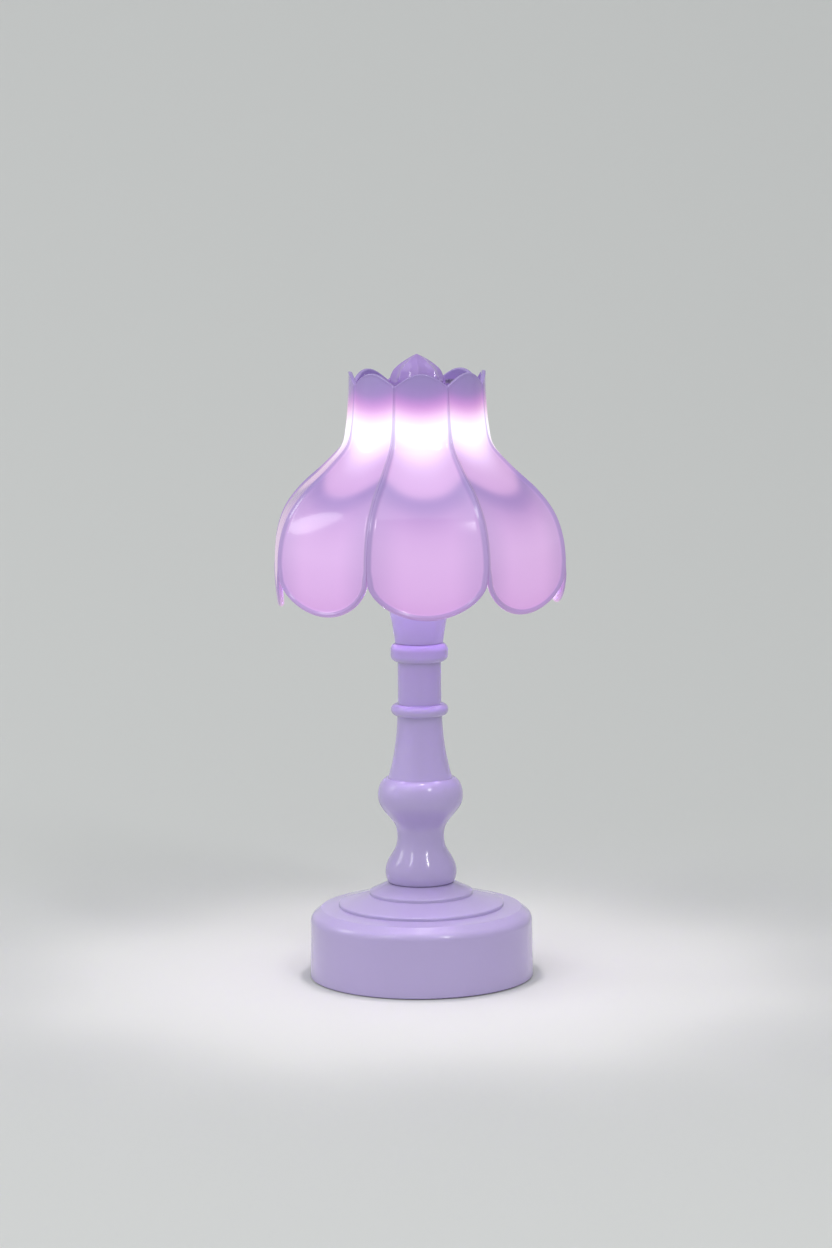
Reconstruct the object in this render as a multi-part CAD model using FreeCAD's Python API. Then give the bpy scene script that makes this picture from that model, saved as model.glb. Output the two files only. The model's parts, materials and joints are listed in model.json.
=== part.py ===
"""Cordless petal table lamp: stepped base, turned stem, eight-petal bell shade and bud finial.

Millimetres, +Z up. The origin is on the lamp's axis in the plane of the feet. Petal 1 faces -Y, the front.
A hollow threaded tie tube runs up the axis and clamps every stem piece; the shade sits on top and is held by
the finial. Three cells, the ballast and the circuit board are in the base, the light source is in the shade's neck.
"""
import FreeCAD, Part
import math
import os
from FreeCAD import Vector

Z_AXIS = Vector(0, 0, 1)

# ---- driving dimensions ----------------------------------------------------------------------------------
WALL = 2.0                       # moulded shell wall
FIT = 0.2                        # loose fit between fixed pieces, radial
RUN = 0.08                       # running fit of moving pieces, radial
EDGE_ROUND = 0.4                 # small rounding of moulded edges

# base
BASE_R = 45.0                    # outer radius at the lower edge
BASE_LIFT = 0.3                  # gap between the lower edge and the table
BASE_DRAFT = 0.5                 # the side wall leans in by this much
BASE_HEADROOM = 3.2              # ballast to the level where the side wall would meet the shoulder
SHOULDER_R = 3.8                 # shoulder fillet
SHOULDER_IN = 4.2                # radial width of the shoulder
SHOULDER_RISE = 3.3
TREAD_1 = 11.3                   # side wall to the dome's outer step
TREAD_2 = 12.4                   # and from there to the inner step
TREAD_1_RISE = 0.8               # how much each tread climbs
TREAD_2_RISE = 3.3
SEAT_RISE = 3.6
STEP_H = 1.3                     # height of each step between treads
STEP_ROUND = 0.7
BOSS_DEPTH = 6.2                 # boss around the tie tube, under the seat
BOSS_RIM = 1.0                   # boss beyond the washer

# plate, cells and door
PLATE_T = 3.2
CELL_R = 5.25
CELL_L = 44.5
CELL_NUB = 0.8                   # length of the positive button, part of CELL_L
CELL_NUB_SHARE = 0.36            # its radius, as a share of the cell's
CELL_GAP = 0.6                   # between neighbouring cells
CELL_COUNT = 3
CELL_SPRING_L = 4.3
CELL_SPRING_R = 3.25
CELL_SPRING_WIRE = 0.3
CONTACT_T = 0.4
CONTACT_HALF_H = 4.2
TAIL_W = 2.2                     # solder tail of each contact
TAIL_OUT = 1.6
TAIL_IN_FROM_SIDE = 3.5          # tail's middle from the tub's side
TUB_WALL = 1.5
TUB_SIDE_GAP = 0.55              # cell to tub wall
TUB_ROOF_GAP = 0.5
DOOR_T = 2.0
DOOR_LEDGE = 2.0                 # width of the ledge the door closes on
DOOR_CELL_GAP = 0.6
DOOR_SEAT_GAP = 0.1              # door to ledge
HINGE_PIN_R = 0.6
HINGE_PIN_L = 1.5
LATCH_W = 8.0
LATCH_H = 1.1
LATCH_T = 0.8
LATCH_GAP = 0.3
NOTCH_R = 4.0                    # finger notch beside the door
NOTCH_DEPTH = 1.2

# base fasteners and feet
POST_R = 3.0
POST_FROM_WALL = 6.54            # post's middle to the cover's inner wall
POST_ANGLE = 15.1                # degrees from the X axis
SCREW_R = 1.25
SCREW_HEAD_R = 2.6
SCREW_HEAD_T = 1.4
SCREW_SINK = 0.3
SCREW_BITE = 7.0
DRIVE_R = 1.1
DRIVE_DEPTH = 0.7
FOOT_R = 4.2
FOOT_RECESS = 1.5
FOOT_FROM_WALL = 5.0             # foot's middle to the cover's inner wall

# ballast
BALLAST_FROM_WALL = 11.0
BALLAST_HOLE_R = 14.0
BALLAST_H = 6.0
LEAD_SLOT_W = 5.0
RIB_IN = 2.0                     # rib over the ballast, in from its edge

# board, switch and button
BOARD_W = 28.0
BOARD_H = 10.6
BOARD_T = 1.6
BOARD_FLOOR_GAP = 0.6            # plate to board
BOARD_STANDOFF = 2.2
BOARD_PAD_R = 2.4
BOARD_SCREW_X = 11.5
BOARD_SCREW_UP = 7.4             # screws above the board's lower edge
BOARD_SCREW_R = 0.9
BOARD_SCREW_L = 3.0
BOARD_SCREW_HEAD = (1.7, 1.2)    # radius and height
CONNECTOR = (4.4, 3.8, 4.1)      # width, depth and height
CONNECTOR_X = -9.0
CHIP = (4.0, 1.2, 3.4)
CHIP_X = 7.4
CAPACITOR = (1.6, 4.0)           # radius and length
SWITCH_W = 7.0
SWITCH_L = 7.0
BUTTON_UP = 6.2                  # button's axis above the board's lower edge
BUTTON_R = 5.0
BUTTON_PROUD = 1.4
BUTTON_ROUND = 0.7
BUTTON_TRAVEL = 1.6
BUTTON_FLANGE = 1.2              # flange beyond the cap
BUTTON_FLANGE_T = 1.1
BUTTON_STEM_R = 2.0
PLUNGER_R = 1.5
PLUNGER_OUT = 3.4
PLUNGER_IN = 3.2
GUIDE_T = 1.6
GUIDE_PAST = 0.2                 # guide bracket beyond the plunger's end, plus the travel
GUIDE_W = 10.0
GUIDE_RIM = 2.4                  # bracket above its bore
BUTTON_SPRING_OVER = 1.2         # spring's mean radius beyond the button's stem
BUTTON_SPRING_WIRE = 0.25
SPRING_TURNS = 3

# tie tube and its nuts
TUBE_R = 5.0
TUBE_WALL = 1.4
TUBE_TAIL = 12.7                 # below the seat
TUBE_IN_FINIAL = 7.0
NUT_WALL = 2.0                   # tube to the nut's flat
NUT_T = 3.6
JAM_NUT_T = 2.4
WASHER_T = 1.2
WASHER_RIM = 1.9                 # washer beyond the nut's corners

# stem: (height above the piece's own foot, radius)
FOOT_PROFILE = [(0.0, 13.3), (1.2, 13.8), (4.5, 14.35), (9.4, 12.9), (14.4, 10.1), (18.2, 9.4), (22.8, 10.1),
                (27.4, 13.3), (31.4, 16.2), (35.2, 17.1)]
DOME_PROFILE = [(0.0, 17.1), (3.2, 16.7), (5.7, 15.5), (7.4, 13.4)]
CONE_PROFILE = [(0.0, 12.9), (4.5, 11.6), (11.0, 10.3), (18.2, 9.4), (25.0, 9.0)]
CUP_PROFILE = [(0.0, 9.6), (4.8, 10.3), (9.8, 11.2), (14.0, 12.0)]
FOOT_GROOVE = (1.0, 0.5)         # depth and height of the shadow line under the foot
SEAT_RIM = 0.1                   # the seat's edge inside the foot's
LOWER_COLLAR_H = 4.8
LOWER_COLLAR_R = 11.5
UPPER_COLLAR_H = 7.6
UPPER_COLLAR_R = 11.5
UPPER_COLLAR_TOP = 3.0           # roundings of its upper and lower edges
UPPER_COLLAR_FOOT = 2.6
NECK_L = 17.0
NECK_R = 8.7
SAUCER_RIM = 3.0                 # saucer beyond the cup
SAUCER_H = 3.0
SAUCER_FLOOR = 1.0
POST_L = 81.8                    # from the saucer's underside to the light source
SLEEVE_WALL = 1.0

# light source
CARRIER_R = 22.0
CARRIER_T = 2.5
LED_BOARD_IN = 2.0               # board's edge inside the carrier's
LED_BOARD_HOLE = 1.8             # board's hole beyond the sleeve
LED_BOARD_T = 1.6
LED_COUNT = 12
LED_FROM_EDGE = 5.5
LED_SIZE = 2.8
LED_T = 0.7
LED_SCREW_COUNT = 3
LED_SCREW_FROM_EDGE = 2.2
LED_SCREW_R = 1.0
LED_SCREW_HEAD = (1.5, 0.9)      # radius and height
LED_SCREW_BITE = 1.7
DIFFUSER_WALL = 1.1
DIFFUSER_HOLE = 4.6              # diffuser's hole beyond the sleeve
DIFFUSER_T = 1.2
DIFFUSER_DROP = 0.6              # LEDs to the diffuser
DIFFUSER_LIP = 0.5               # carrier's edge above the diffuser's skirt
LEAD_R = 0.8
LEAD_SLOT_GAP = 0.6
LEAD_SLOT_L = 14.0
CELL_LEAD_R = 0.5

# shade: heights are above the top of its hub
PETAL_COUNT = 8
PETAL_T = 1.5
PETAL_GAP = 0.08                 # half the gap between neighbouring petals
RIM_W = 2.6
RIM_H = 1.1
RIM_NECK_SHARE = 0.25            # the bead's height at the neck, as a share
RIM_FADE = (-33.0, -11.0)        # it fades between these heights
PETAL_NOTCH = 2.5                # where the scallops of two petals meet
PETAL_SCALLOP = 4.9
PETAL_TIP_CENTRE = -68.8         # centre of the half ellipse that ends each petal
PETAL_TIP_H = 16.6
PETAL_TIP_ARC = 80.0             # degrees of that ellipse on each side
SHADE_PROFILE = [(7.4, 27.0), (-4.0, 27.4), (-15.0, 28.4), (-22.4, 30.3), (-30.5, 37.3), (-39.1, 46.6),
                 (-47.5, 53.0), (-57.0, 56.3), (-68.0, 57.3), (-77.0, 56.8), (-85.4, 55.0)]
CORNER_START = -17.0             # above this the shade is round, below it the petals flatten
CORNER_MID = -27.0
CORNER_AT_MID = 0.040            # extra corner radius, as a share, at CORNER_MID
CORNER_END = -71.0
CORNER_AT_END = 0.058
HUB_T = 2.5
HUB_NUT_GAP = 0.5
HUB_GAP = 0.3                    # hub's edge to the petals
TAB_W = 9.0
TAB_T = 1.5
TAB_L = 8.4                      # each petal's tab, in from the petal's inner face
PETAL_SCREW_IN = 5.3             # screw's middle from that face
PETAL_SCREW_R = 1.2
PETAL_SCREW_HEAD = (2.2, 1.4)    # radius and height
PETAL_SCREW_SLOT = (0.9, 0.8)

# finial
FINIAL_WASHER_RIM = 3.4          # washer beyond the hub's hole
FINIAL_WASHER_T = 1.0
FINIAL_H = 13.0
FINIAL_PROFILE = [(0.0, 9.6), (2.5, 10.9), (5.6, 10.0), (7.3, 8.9), (9.5, 6.3), (11.3, 3.5), (12.3, 1.6)]
INSERT_WALL = 1.6
INSERT_ROOF = 0.4


# ---- shape helpers ---------------------------------------------------------------------------------------
def drum(radius, low, high, hole=0.0, x=0.0, y=0.0):
    """A vertical cylinder, or a ring when it has a hole."""
    solid = Part.makeCylinder(radius, high - low, Vector(x, y, low))
    if hole > 0:
        solid = solid.cut(Part.makeCylinder(hole, high - low, Vector(x, y, low)))
    return solid


def bar_y(radius, y_low, y_high, x, z, hole=0.0):
    """A cylinder along Y."""
    solid = Part.makeCylinder(radius, y_high - y_low, Vector(x, y_low, z), Vector(0, 1, 0))
    if hole > 0:
        solid = solid.cut(Part.makeCylinder(hole, y_high - y_low, Vector(x, y_low, z), Vector(0, 1, 0)))
    return solid


def block(x_low, x_high, y_low, y_high, z_low, z_high):
    """A box between two corners."""
    return Part.makeBox(x_high - x_low, y_high - y_low, z_high - z_low, Vector(x_low, y_low, z_low))


def lathe(corners):
    """Revolve a closed outline of (radius, height, fillet) corners about the axis."""
    edges, starts, ends = [], [], []
    count = len(corners)
    points = [Vector(r, 0, z) for r, z, _ in corners]
    for i, (_, _, fillet) in enumerate(corners):
        here = points[i]
        back = (points[i - 1] - here).normalize()
        ahead = (points[(i + 1) % count] - here).normalize()
        if fillet <= 0:
            starts.append(here)
            ends.append(here)
            edges.append(None)
            continue
        half = back.getAngle(ahead) / 2
        reach = fillet / math.tan(half)
        middle = here + (back + ahead).normalize() * (fillet / math.sin(half) - fillet)
        starts.append(here + back * reach)
        ends.append(here + ahead * reach)
        edges.append(Part.Arc(starts[i], middle, ends[i]).toShape())
    outline = []
    for i in range(count):
        if edges[i] is not None:
            outline.append(edges[i])
        a, b = ends[i], starts[(i + 1) % count]
        if a.distanceToPoint(b) > 1e-6:
            outline.append(Part.LineSegment(a, b).toShape())
    return Part.Face(Part.Wire(Part.__sortEdges__(outline))).revolve(Vector(), Z_AXIS, 360)


def curve_value(profile, height):
    """Radius at a height: a smooth cubic through the profile's points, and its slope."""
    points = sorted(profile)
    count = len(points)
    slopes = []
    for i in range(count):
        a, b = max(i - 1, 0), min(i + 1, count - 1)
        slopes.append((points[b][1] - points[a][1]) / (points[b][0] - points[a][0]))
    i = 0
    while i < count - 2 and height > points[i + 1][0]:
        i += 1
    (z0, r0), (z1, r1) = points[i], points[i + 1]
    span = z1 - z0
    t = min(max((height - z0) / span, 0.0), 1.0)
    m0, m1 = slopes[i] * span, slopes[i + 1] * span
    value = ((2 * t**3 - 3 * t**2 + 1) * r0 + (t**3 - 2 * t**2 + t) * m0
             + (3 * t**2 - 2 * t**3) * r1 + (t**3 - t**2) * m1)
    slope = ((6 * t**2 - 6 * t) * r0 + (3 * t**2 - 4 * t + 1) * m0
             + (6 * t - 6 * t**2) * r1 + (3 * t**2 - 2 * t) * m1) / span
    return value, slope


def spun_curve(curve, inner):
    """Revolve a smooth (height, radius) curve, closed by flat ends and a bore of the inner radius."""
    spline = Part.BSplineCurve()
    spline.interpolate([Vector(r, 0, z) for z, r in curve])
    low, high = curve[0], curve[-1]
    corners = [Vector(high[1], 0, high[0]), Vector(inner, 0, high[0]), Vector(inner, 0, low[0]),
               Vector(low[1], 0, low[0])]
    edges = [spline.toShape()]
    edges += [Part.LineSegment(a, b).toShape() for a, b in zip(corners, corners[1:])]
    return Part.Face(Part.Wire(edges)).revolve(Vector(), Z_AXIS, 360)


def hollow_turning(profile, foot, web_low, web_high):
    """A turned shell on the tie tube: WALL thick, with a web that the tube passes at either end."""
    solid = spun_curve([(foot + z, r) for z, r in profile], BORE_R)
    length = profile[-1][0]
    bottom, top = web_low, length - web_high
    heights = [bottom + (top - bottom) * i / HOLLOW_STEPS for i in range(HOLLOW_STEPS + 1)]
    inside = [(foot + z, max(curve_value(profile, z)[0] - WALL, BORE_R + FIT)) for z in heights]
    if web_low <= 0:
        inside[0] = (foot - 0.5, inside[0][1])
    if web_high <= 0:
        inside[-1] = (foot + length + 0.5, inside[-1][1])
    return solid.cut(spun_curve(inside, 0.1 * BORE_R))


def around(shape, count, first=0.0):
    """Copies of a shape turned about the axis."""
    copies = []
    for i in range(count):
        copy = shape.copy()
        copy.rotate(Vector(), Z_AXIS, first + 360.0 / count * i)
        copies.append(copy)
    return copies


def at_corners(x, y):
    """The four mirrored places of one corner."""
    return [(x, y), (-x, y), (-x, -y), (x, -y)]


def hex_nut(low, thickness):
    """A hexagon nut on the tie tube."""
    turns = [math.radians(60 * i) for i in range(7)]
    points = [Vector(NUT_CORNER_R * math.cos(t), NUT_CORNER_R * math.sin(t), low) for t in turns]
    prism = Part.Face(Part.makePolygon(points)).extrude(Vector(0, 0, thickness))
    return prism.cut(drum(TUBE_R, low, low + thickness))


def rounded_path(corners, share):
    """Straight runs joined by tangent arcs that take a share of the shorter run; with the arcs' radii."""
    edges, here, radii = [], corners[0], []
    for i in range(1, len(corners) - 1):
        back, ahead = corners[i - 1] - corners[i], corners[i + 1] - corners[i]
        reach = share * min(back.Length, ahead.Length)
        back.normalize()
        ahead.normalize()
        half = back.getAngle(ahead) / 2
        bend = reach * math.tan(half)
        radii.append(round(bend, 1))
        middle = corners[i] + (back + ahead).normalize() * (bend / math.sin(half) - bend)
        edges.append(Part.LineSegment(here, corners[i] + back * reach).toShape())
        edges.append(Part.Arc(corners[i] + back * reach, middle, corners[i] + ahead * reach).toShape())
        here = corners[i] + ahead * reach
    edges.append(Part.LineSegment(here, corners[-1]).toShape())
    return Part.Wire(edges), radii


def round_wire(corners, radius, share):
    """A round wire along a rounded path; with the path and its radii."""
    path, radii = rounded_path(corners, share)
    start = Part.Wire(Part.makeCircle(radius, corners[0], corners[1] - corners[0]))
    return path.makePipeShell([start], True, False), path, radii


def coil(radius, wire, length, place, direction):
    """A compression spring between two seats: short runs and arcs along a helix."""
    count = SPRING_TURNS * COIL_STEPS
    rise = (length - 2 * wire - COIL_SEAT_GAP) / count
    reach = radius / math.cos(math.pi / COIL_STEPS)
    corners = []
    for i in range(count + 1):
        turn = 2 * math.pi * i / COIL_STEPS
        along = wire + COIL_SEAT_GAP / 2 + rise * i
        corners.append(Vector(reach * math.cos(turn), reach * math.sin(turn), along))
    spring = round_wire(corners, wire, 0.45)[0]
    spring.Placement = FreeCAD.Placement(place, FreeCAD.Rotation(Z_AXIS, direction))
    return spring


def lead(points, radius, name):
    """A round lead with bends as large as its runs allow, which prints its radii."""
    solid, path, radii = round_wire([Vector(*p) for p in points], radius, 0.45)
    print(name, "radii", radii, "volume share", round(solid.Volume / (math.pi * radius**2 * path.Length), 4))
    return solid


# ---- places worked out from the driving dimensions -------------------------------------------------------
HOLLOW_STEPS = 12
SIDE_BAND = 0.4                  # share of a petal's grid in the bead's bands, across and down
END_BAND = 0.16
LED_SCREW_TURN = 30              # degrees from the X axis to the first screw of the LED board
COIL_STEPS = 8                   # corners in each turn of a spring
COIL_SEAT_GAP = 0.1
BORE_R = TUBE_R + FIT
NUT_CORNER_R = (TUBE_R + NUT_WALL) / math.cos(math.radians(30))
WASHER_R = NUT_CORNER_R + WASHER_RIM
BOSS_R = WASHER_R + BOSS_RIM

PLATE_TOP = BASE_LIFT + PLATE_T
COVER_IN_R = BASE_R - WALL
DOOR_TOP = BASE_LIFT + DOOR_T
CELL_PITCH = 2 * CELL_R + CELL_GAP
CELL_Z = DOOR_TOP + DOOR_CELL_GAP + CELL_R
TUB_ROOF = CELL_Z + CELL_R + TUB_ROOF_GAP
TUB_TOP = TUB_ROOF + TUB_WALL
TUB_X = (CELL_L + CELL_SPRING_L) / 2 + CONTACT_T
TUB_Y = CELL_PITCH * (CELL_COUNT - 1) / 2 + CELL_R + TUB_SIDE_GAP
DOOR_X = TUB_X + DOOR_LEDGE
DOOR_Y = TUB_Y + DOOR_LEDGE
HINGE_X = -DOOR_X + FIT + DOOR_T / 2
HINGE_Z = BASE_LIFT + DOOR_T / 2
TAIL_Y = TUB_Y - TAIL_IN_FROM_SIDE
TAIL_END = TUB_X + TUB_WALL + TAIL_OUT
POST_CIRCLE = COVER_IN_R - POST_FROM_WALL
POST_AT = (POST_CIRCLE * math.cos(math.radians(POST_ANGLE)), POST_CIRCLE * math.sin(math.radians(POST_ANGLE)))
FOOT_AT = (COVER_IN_R - FOOT_FROM_WALL) / math.sqrt(2)

BALLAST_R = COVER_IN_R - BALLAST_FROM_WALL
BALLAST_TOP = TUB_TOP + BALLAST_H
BASE_TOP_R = BASE_R - BASE_DRAFT
BASE_WALL_TOP = BALLAST_TOP + BASE_HEADROOM
SHOULDER = (BASE_TOP_R - SHOULDER_IN, BASE_WALL_TOP + SHOULDER_RISE)
STEP_1 = (BASE_TOP_R - TREAD_1, SHOULDER[1] + TREAD_1_RISE)
STEP_2 = (STEP_1[0] - TREAD_2, STEP_1[1] + STEP_H + TREAD_2_RISE)
SEAT_R = FOOT_PROFILE[0][1] - SEAT_RIM
SEAT_Z = STEP_2[1] + STEP_H + SEAT_RISE
BOSS_Z = SEAT_Z - BOSS_DEPTH

BOARD_Z = PLATE_TOP + BOARD_FLOOR_GAP
BOARD_Y = TUB_Y + TUB_WALL + BOARD_STANDOFF
BOARD_FACE = BOARD_Y + BOARD_T
BOARD_SCREW_Z = BOARD_Z + BOARD_SCREW_UP
BUTTON_Z = BOARD_Z + BUTTON_UP
BUTTON_FLANGE_R = BUTTON_R + BUTTON_FLANGE
BUTTON_SEAT = math.sqrt((BASE_TOP_R - WALL) ** 2 - BUTTON_FLANGE_R**2) - FIT
BUTTON_SPRING_R = BUTTON_STEM_R + BUTTON_SPRING_OVER
PLUNGER_END = BOARD_FACE + SWITCH_L + PLUNGER_OUT
GUIDE_Y = PLUNGER_END + BUTTON_TRAVEL + GUIDE_PAST
LEAD_START = (CONNECTOR_X, BOARD_FACE + CONNECTOR[1] / 2, BOARD_Z + BOARD_FLOOR_GAP + CONNECTOR[2])

DOME_Z = SEAT_Z + FOOT_PROFILE[-1][0]
CONE_Z = DOME_Z + DOME_PROFILE[-1][0]
LOWER_COLLAR_Z = CONE_Z + CONE_PROFILE[-1][0]
NECK_Z = LOWER_COLLAR_Z + LOWER_COLLAR_H
UPPER_COLLAR_Z = NECK_Z + NECK_L
CUP_Z = UPPER_COLLAR_Z + UPPER_COLLAR_H
SAUCER_Z = CUP_Z + CUP_PROFILE[-1][0]
SAUCER_R = CUP_PROFILE[-1][1] + SAUCER_RIM
SLEEVE_R = BORE_R + SLEEVE_WALL
CARRIER_Z = SAUCER_Z + POST_L
LED_BOARD_R = CARRIER_R - LED_BOARD_IN
LED_BOARD_HOLE_R = SLEEVE_R + LED_BOARD_HOLE
LED_CIRCLE = LED_BOARD_R - LED_FROM_EDGE
LED_SCREW_CIRCLE = LED_BOARD_R - LED_SCREW_FROM_EDGE
LED_BOARD_Z = CARRIER_Z - LED_BOARD_T
LED_Z = LED_BOARD_Z - LED_T
DIFFUSER_R = CARRIER_R + DIFFUSER_WALL
DIFFUSER_HOLE_R = SLEEVE_R + DIFFUSER_HOLE
DIFFUSER_Z = LED_Z - DIFFUSER_DROP - DIFFUSER_T

HUB_Z = CARRIER_Z + CARRIER_T
HUB_HOLE_R = NUT_CORNER_R + HUB_NUT_GAP
TAB_Z = HUB_Z + HUB_T
FINIAL_WASHER_R = HUB_HOLE_R + FINIAL_WASHER_RIM
FINIAL_Z = TAB_Z + FINIAL_WASHER_T
INSERT_R = TUBE_R + INSERT_WALL
INSERT_L = TUBE_IN_FINIAL + FIT + INSERT_ROOF
TUBE_BORE_R = TUBE_R - TUBE_WALL
TUBE_LOW = SEAT_Z - TUBE_TAIL
TUBE_HIGH = FINIAL_Z + TUBE_IN_FINIAL
PETAL_ANGLE = math.pi / PETAL_COUNT
PETAL_IN_R = curve_value(SHADE_PROFILE, 0)[0] - PETAL_T
PETAL_SCREW_CIRCLE = PETAL_IN_R - PETAL_SCREW_IN


# ---- base ------------------------------------------------------------------------------------------------
def base_cover():
    """The stepped lilac shell, with its tie-tube boss, ballast rib, screw posts and button hole."""
    outer = lathe([(BORE_R, BASE_LIFT, 0), (BASE_R, BASE_LIFT, EDGE_ROUND),
                   (BASE_TOP_R, BASE_WALL_TOP, SHOULDER_R), (*SHOULDER, 0),
                   (*STEP_1, 0), (STEP_1[0], STEP_1[1] + STEP_H, STEP_ROUND),
                   (*STEP_2, 0), (STEP_2[0], STEP_2[1] + STEP_H, STEP_ROUND), (SEAT_R, SEAT_Z, 0),
                   (BORE_R, SEAT_Z, 0)])
    hollow = lathe([(0, BASE_LIFT - 1, 0), (COVER_IN_R, BASE_LIFT - 1, 0),
                    (BASE_TOP_R - WALL, BASE_WALL_TOP - WALL, SHOULDER_R - WALL),
                    (SHOULDER[0] - WALL, SHOULDER[1] - WALL, 0), (STEP_1[0] - WALL, STEP_1[1] - WALL, 0),
                    (STEP_2[0] - WALL, STEP_2[1] - WALL, 0), (BOSS_R, BOSS_Z, 0), (0, BOSS_Z, 0)])
    cover = outer.cut(hollow)
    roof = outer.common(drum(BASE_R, PLATE_TOP, SEAT_Z - 1))
    rib_r = BALLAST_R - RIB_IN
    cover = cover.fuse(roof.common(drum(rib_r, BALLAST_TOP, STEP_1[1], rib_r - WALL)))
    for x, y in at_corners(*POST_AT):
        cover = cover.fuse(roof.common(drum(POST_R, PLATE_TOP, STEP_1[1], 0, x, y)))
    for x, y in at_corners(*POST_AT):
        cover = cover.cut(drum(SCREW_R, PLATE_TOP, PLATE_TOP + SCREW_BITE, 0, x, y))
    cover = cover.cut(bar_y(BUTTON_R + RUN, BASE_R - 2 * WALL, BASE_R + 1, 0, BUTTON_Z))
    return cover.removeSplitter()


def base_plate():
    """The underside: feet recesses, screw holes, the cell tub with its door ledge, and the button guide."""
    plate = drum(COVER_IN_R - FIT, BASE_LIFT, PLATE_TOP)
    plate = plate.fuse(block(-TUB_X - TUB_WALL, TUB_X + TUB_WALL, -TUB_Y - TUB_WALL, TUB_Y + TUB_WALL,
                             BASE_LIFT, TUB_TOP))
    for x in (-BOARD_SCREW_X, BOARD_SCREW_X):
        plate = plate.fuse(bar_y(BOARD_PAD_R, TUB_Y, BOARD_Y, x, BOARD_SCREW_Z))
    plate = plate.fuse(block(-GUIDE_W / 2, GUIDE_W / 2, GUIDE_Y, GUIDE_Y + GUIDE_T, BASE_LIFT,
                             BUTTON_Z + BUTTON_STEM_R + GUIDE_RIM))
    ledge = DOOR_TOP + DOOR_SEAT_GAP
    latch = LATCH_W / 2 + 2 * FIT
    plate = plate.cut(block(-TUB_X, TUB_X, -TUB_Y, TUB_Y, BASE_LIFT - 1, TUB_ROOF))
    plate = plate.cut(block(-DOOR_X, DOOR_X, -DOOR_Y, DOOR_Y, BASE_LIFT - 1, ledge))
    plate = plate.cut(block(TUB_X, DOOR_X, -latch, latch, DOOR_TOP, DOOR_TOP + LATCH_H + LATCH_GAP))
    plate = plate.cut(drum(NOTCH_R, BASE_LIFT - 1, BASE_LIFT + NOTCH_DEPTH, 0, DOOR_X, 0))
    pin_end = DOOR_Y - FIT + HINGE_PIN_L + LATCH_GAP
    plate = plate.cut(bar_y(HINGE_PIN_R + RUN, -pin_end, pin_end, HINGE_X, HINGE_Z))
    plate = plate.cut(bar_y(BUTTON_STEM_R + RUN, GUIDE_Y - 1, GUIDE_Y + GUIDE_T + 1, 0, BUTTON_Z))
    for x in (-BOARD_SCREW_X, BOARD_SCREW_X):
        plate = plate.cut(bar_y(BOARD_SCREW_R, BOARD_Y - BOARD_SCREW_L - FIT, BOARD_Y + 1, x, BOARD_SCREW_Z))
    half_w, half_t = TAIL_W / 2 + FIT, CONTACT_T / 2 + FIT
    for low, high in ((-TUB_X - TUB_WALL - 1, -TUB_X + 1), (TUB_X - 1, TUB_X + TUB_WALL + 1)):
        plate = plate.cut(block(low, high, TAIL_Y - half_w, TAIL_Y + half_w, CELL_Z - half_t, CELL_Z + half_t))
    for x, y in at_corners(*POST_AT):
        plate = plate.cut(drum(SCREW_R + FIT, BASE_LIFT - 1, PLATE_TOP + 1, 0, x, y))
        head_top = BASE_LIFT + SCREW_SINK + SCREW_HEAD_T
        plate = plate.cut(drum(SCREW_HEAD_R + FIT, BASE_LIFT - 1, head_top, 0, x, y))
    for x, y in at_corners(FOOT_AT, FOOT_AT):
        plate = plate.cut(drum(FOOT_R, BASE_LIFT - 1, BASE_LIFT + FOOT_RECESS, 0, x, y))
    return plate.removeSplitter()


def battery_door():
    """The door under the cells: a slab with a rolled hinge edge, two pins and a latch lip."""
    half_y = DOOR_Y - FIT
    slab = block(HINGE_X, DOOR_X - FIT, -half_y, half_y, BASE_LIFT, DOOR_TOP)
    door = slab.fuse(bar_y(DOOR_T / 2, -half_y, half_y, HINGE_X, HINGE_Z))
    door = door.fuse(bar_y(HINGE_PIN_R, -half_y - HINGE_PIN_L, half_y + HINGE_PIN_L, HINGE_X, HINGE_Z))
    lip_x = DOOR_X - 2 * FIT
    lip = block(lip_x - LATCH_T, lip_x, -LATCH_W / 2, LATCH_W / 2, DOOR_TOP - FIT, DOOR_TOP + LATCH_H)
    return door.fuse(lip).removeSplitter()


def cell_rows():
    """Place and direction of each cell: neighbours point opposite ways."""
    first = -CELL_PITCH * (CELL_COUNT - 1) / 2
    return [(first + CELL_PITCH * i, 1 if i % 2 == 0 else -1) for i in range(CELL_COUNT)]


def battery_cells():
    """Three cells in series, each with its positive button."""
    cells = []
    reach = TUB_X - CONTACT_T
    for y, way in cell_rows():
        body = CELL_L - CELL_NUB
        start = reach - CELL_L
        can = Part.makeCylinder(CELL_R, body, Vector(start, 0, 0), Vector(1, 0, 0))
        nub = Part.makeCylinder(CELL_R * CELL_NUB_SHARE, CELL_NUB, Vector(start + body, 0, 0), Vector(1, 0, 0))
        can = can.fuse(nub)
        if way < 0:
            can.rotate(Vector(), Z_AXIS, 180)
        can.translate(Vector(0, y, CELL_Z))
        cells.append(can)
    return Part.makeCompound(cells)


def cell_springs():
    """The spring behind each cell's flat end."""
    springs = []
    for y, way in cell_rows():
        place = Vector(-way * (TUB_X - CONTACT_T), y, CELL_Z)
        springs.append(coil(CELL_SPRING_R, CELL_SPRING_WIRE, CELL_SPRING_L, place, Vector(way, 0, 0)))
    return Part.makeCompound(springs)


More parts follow.
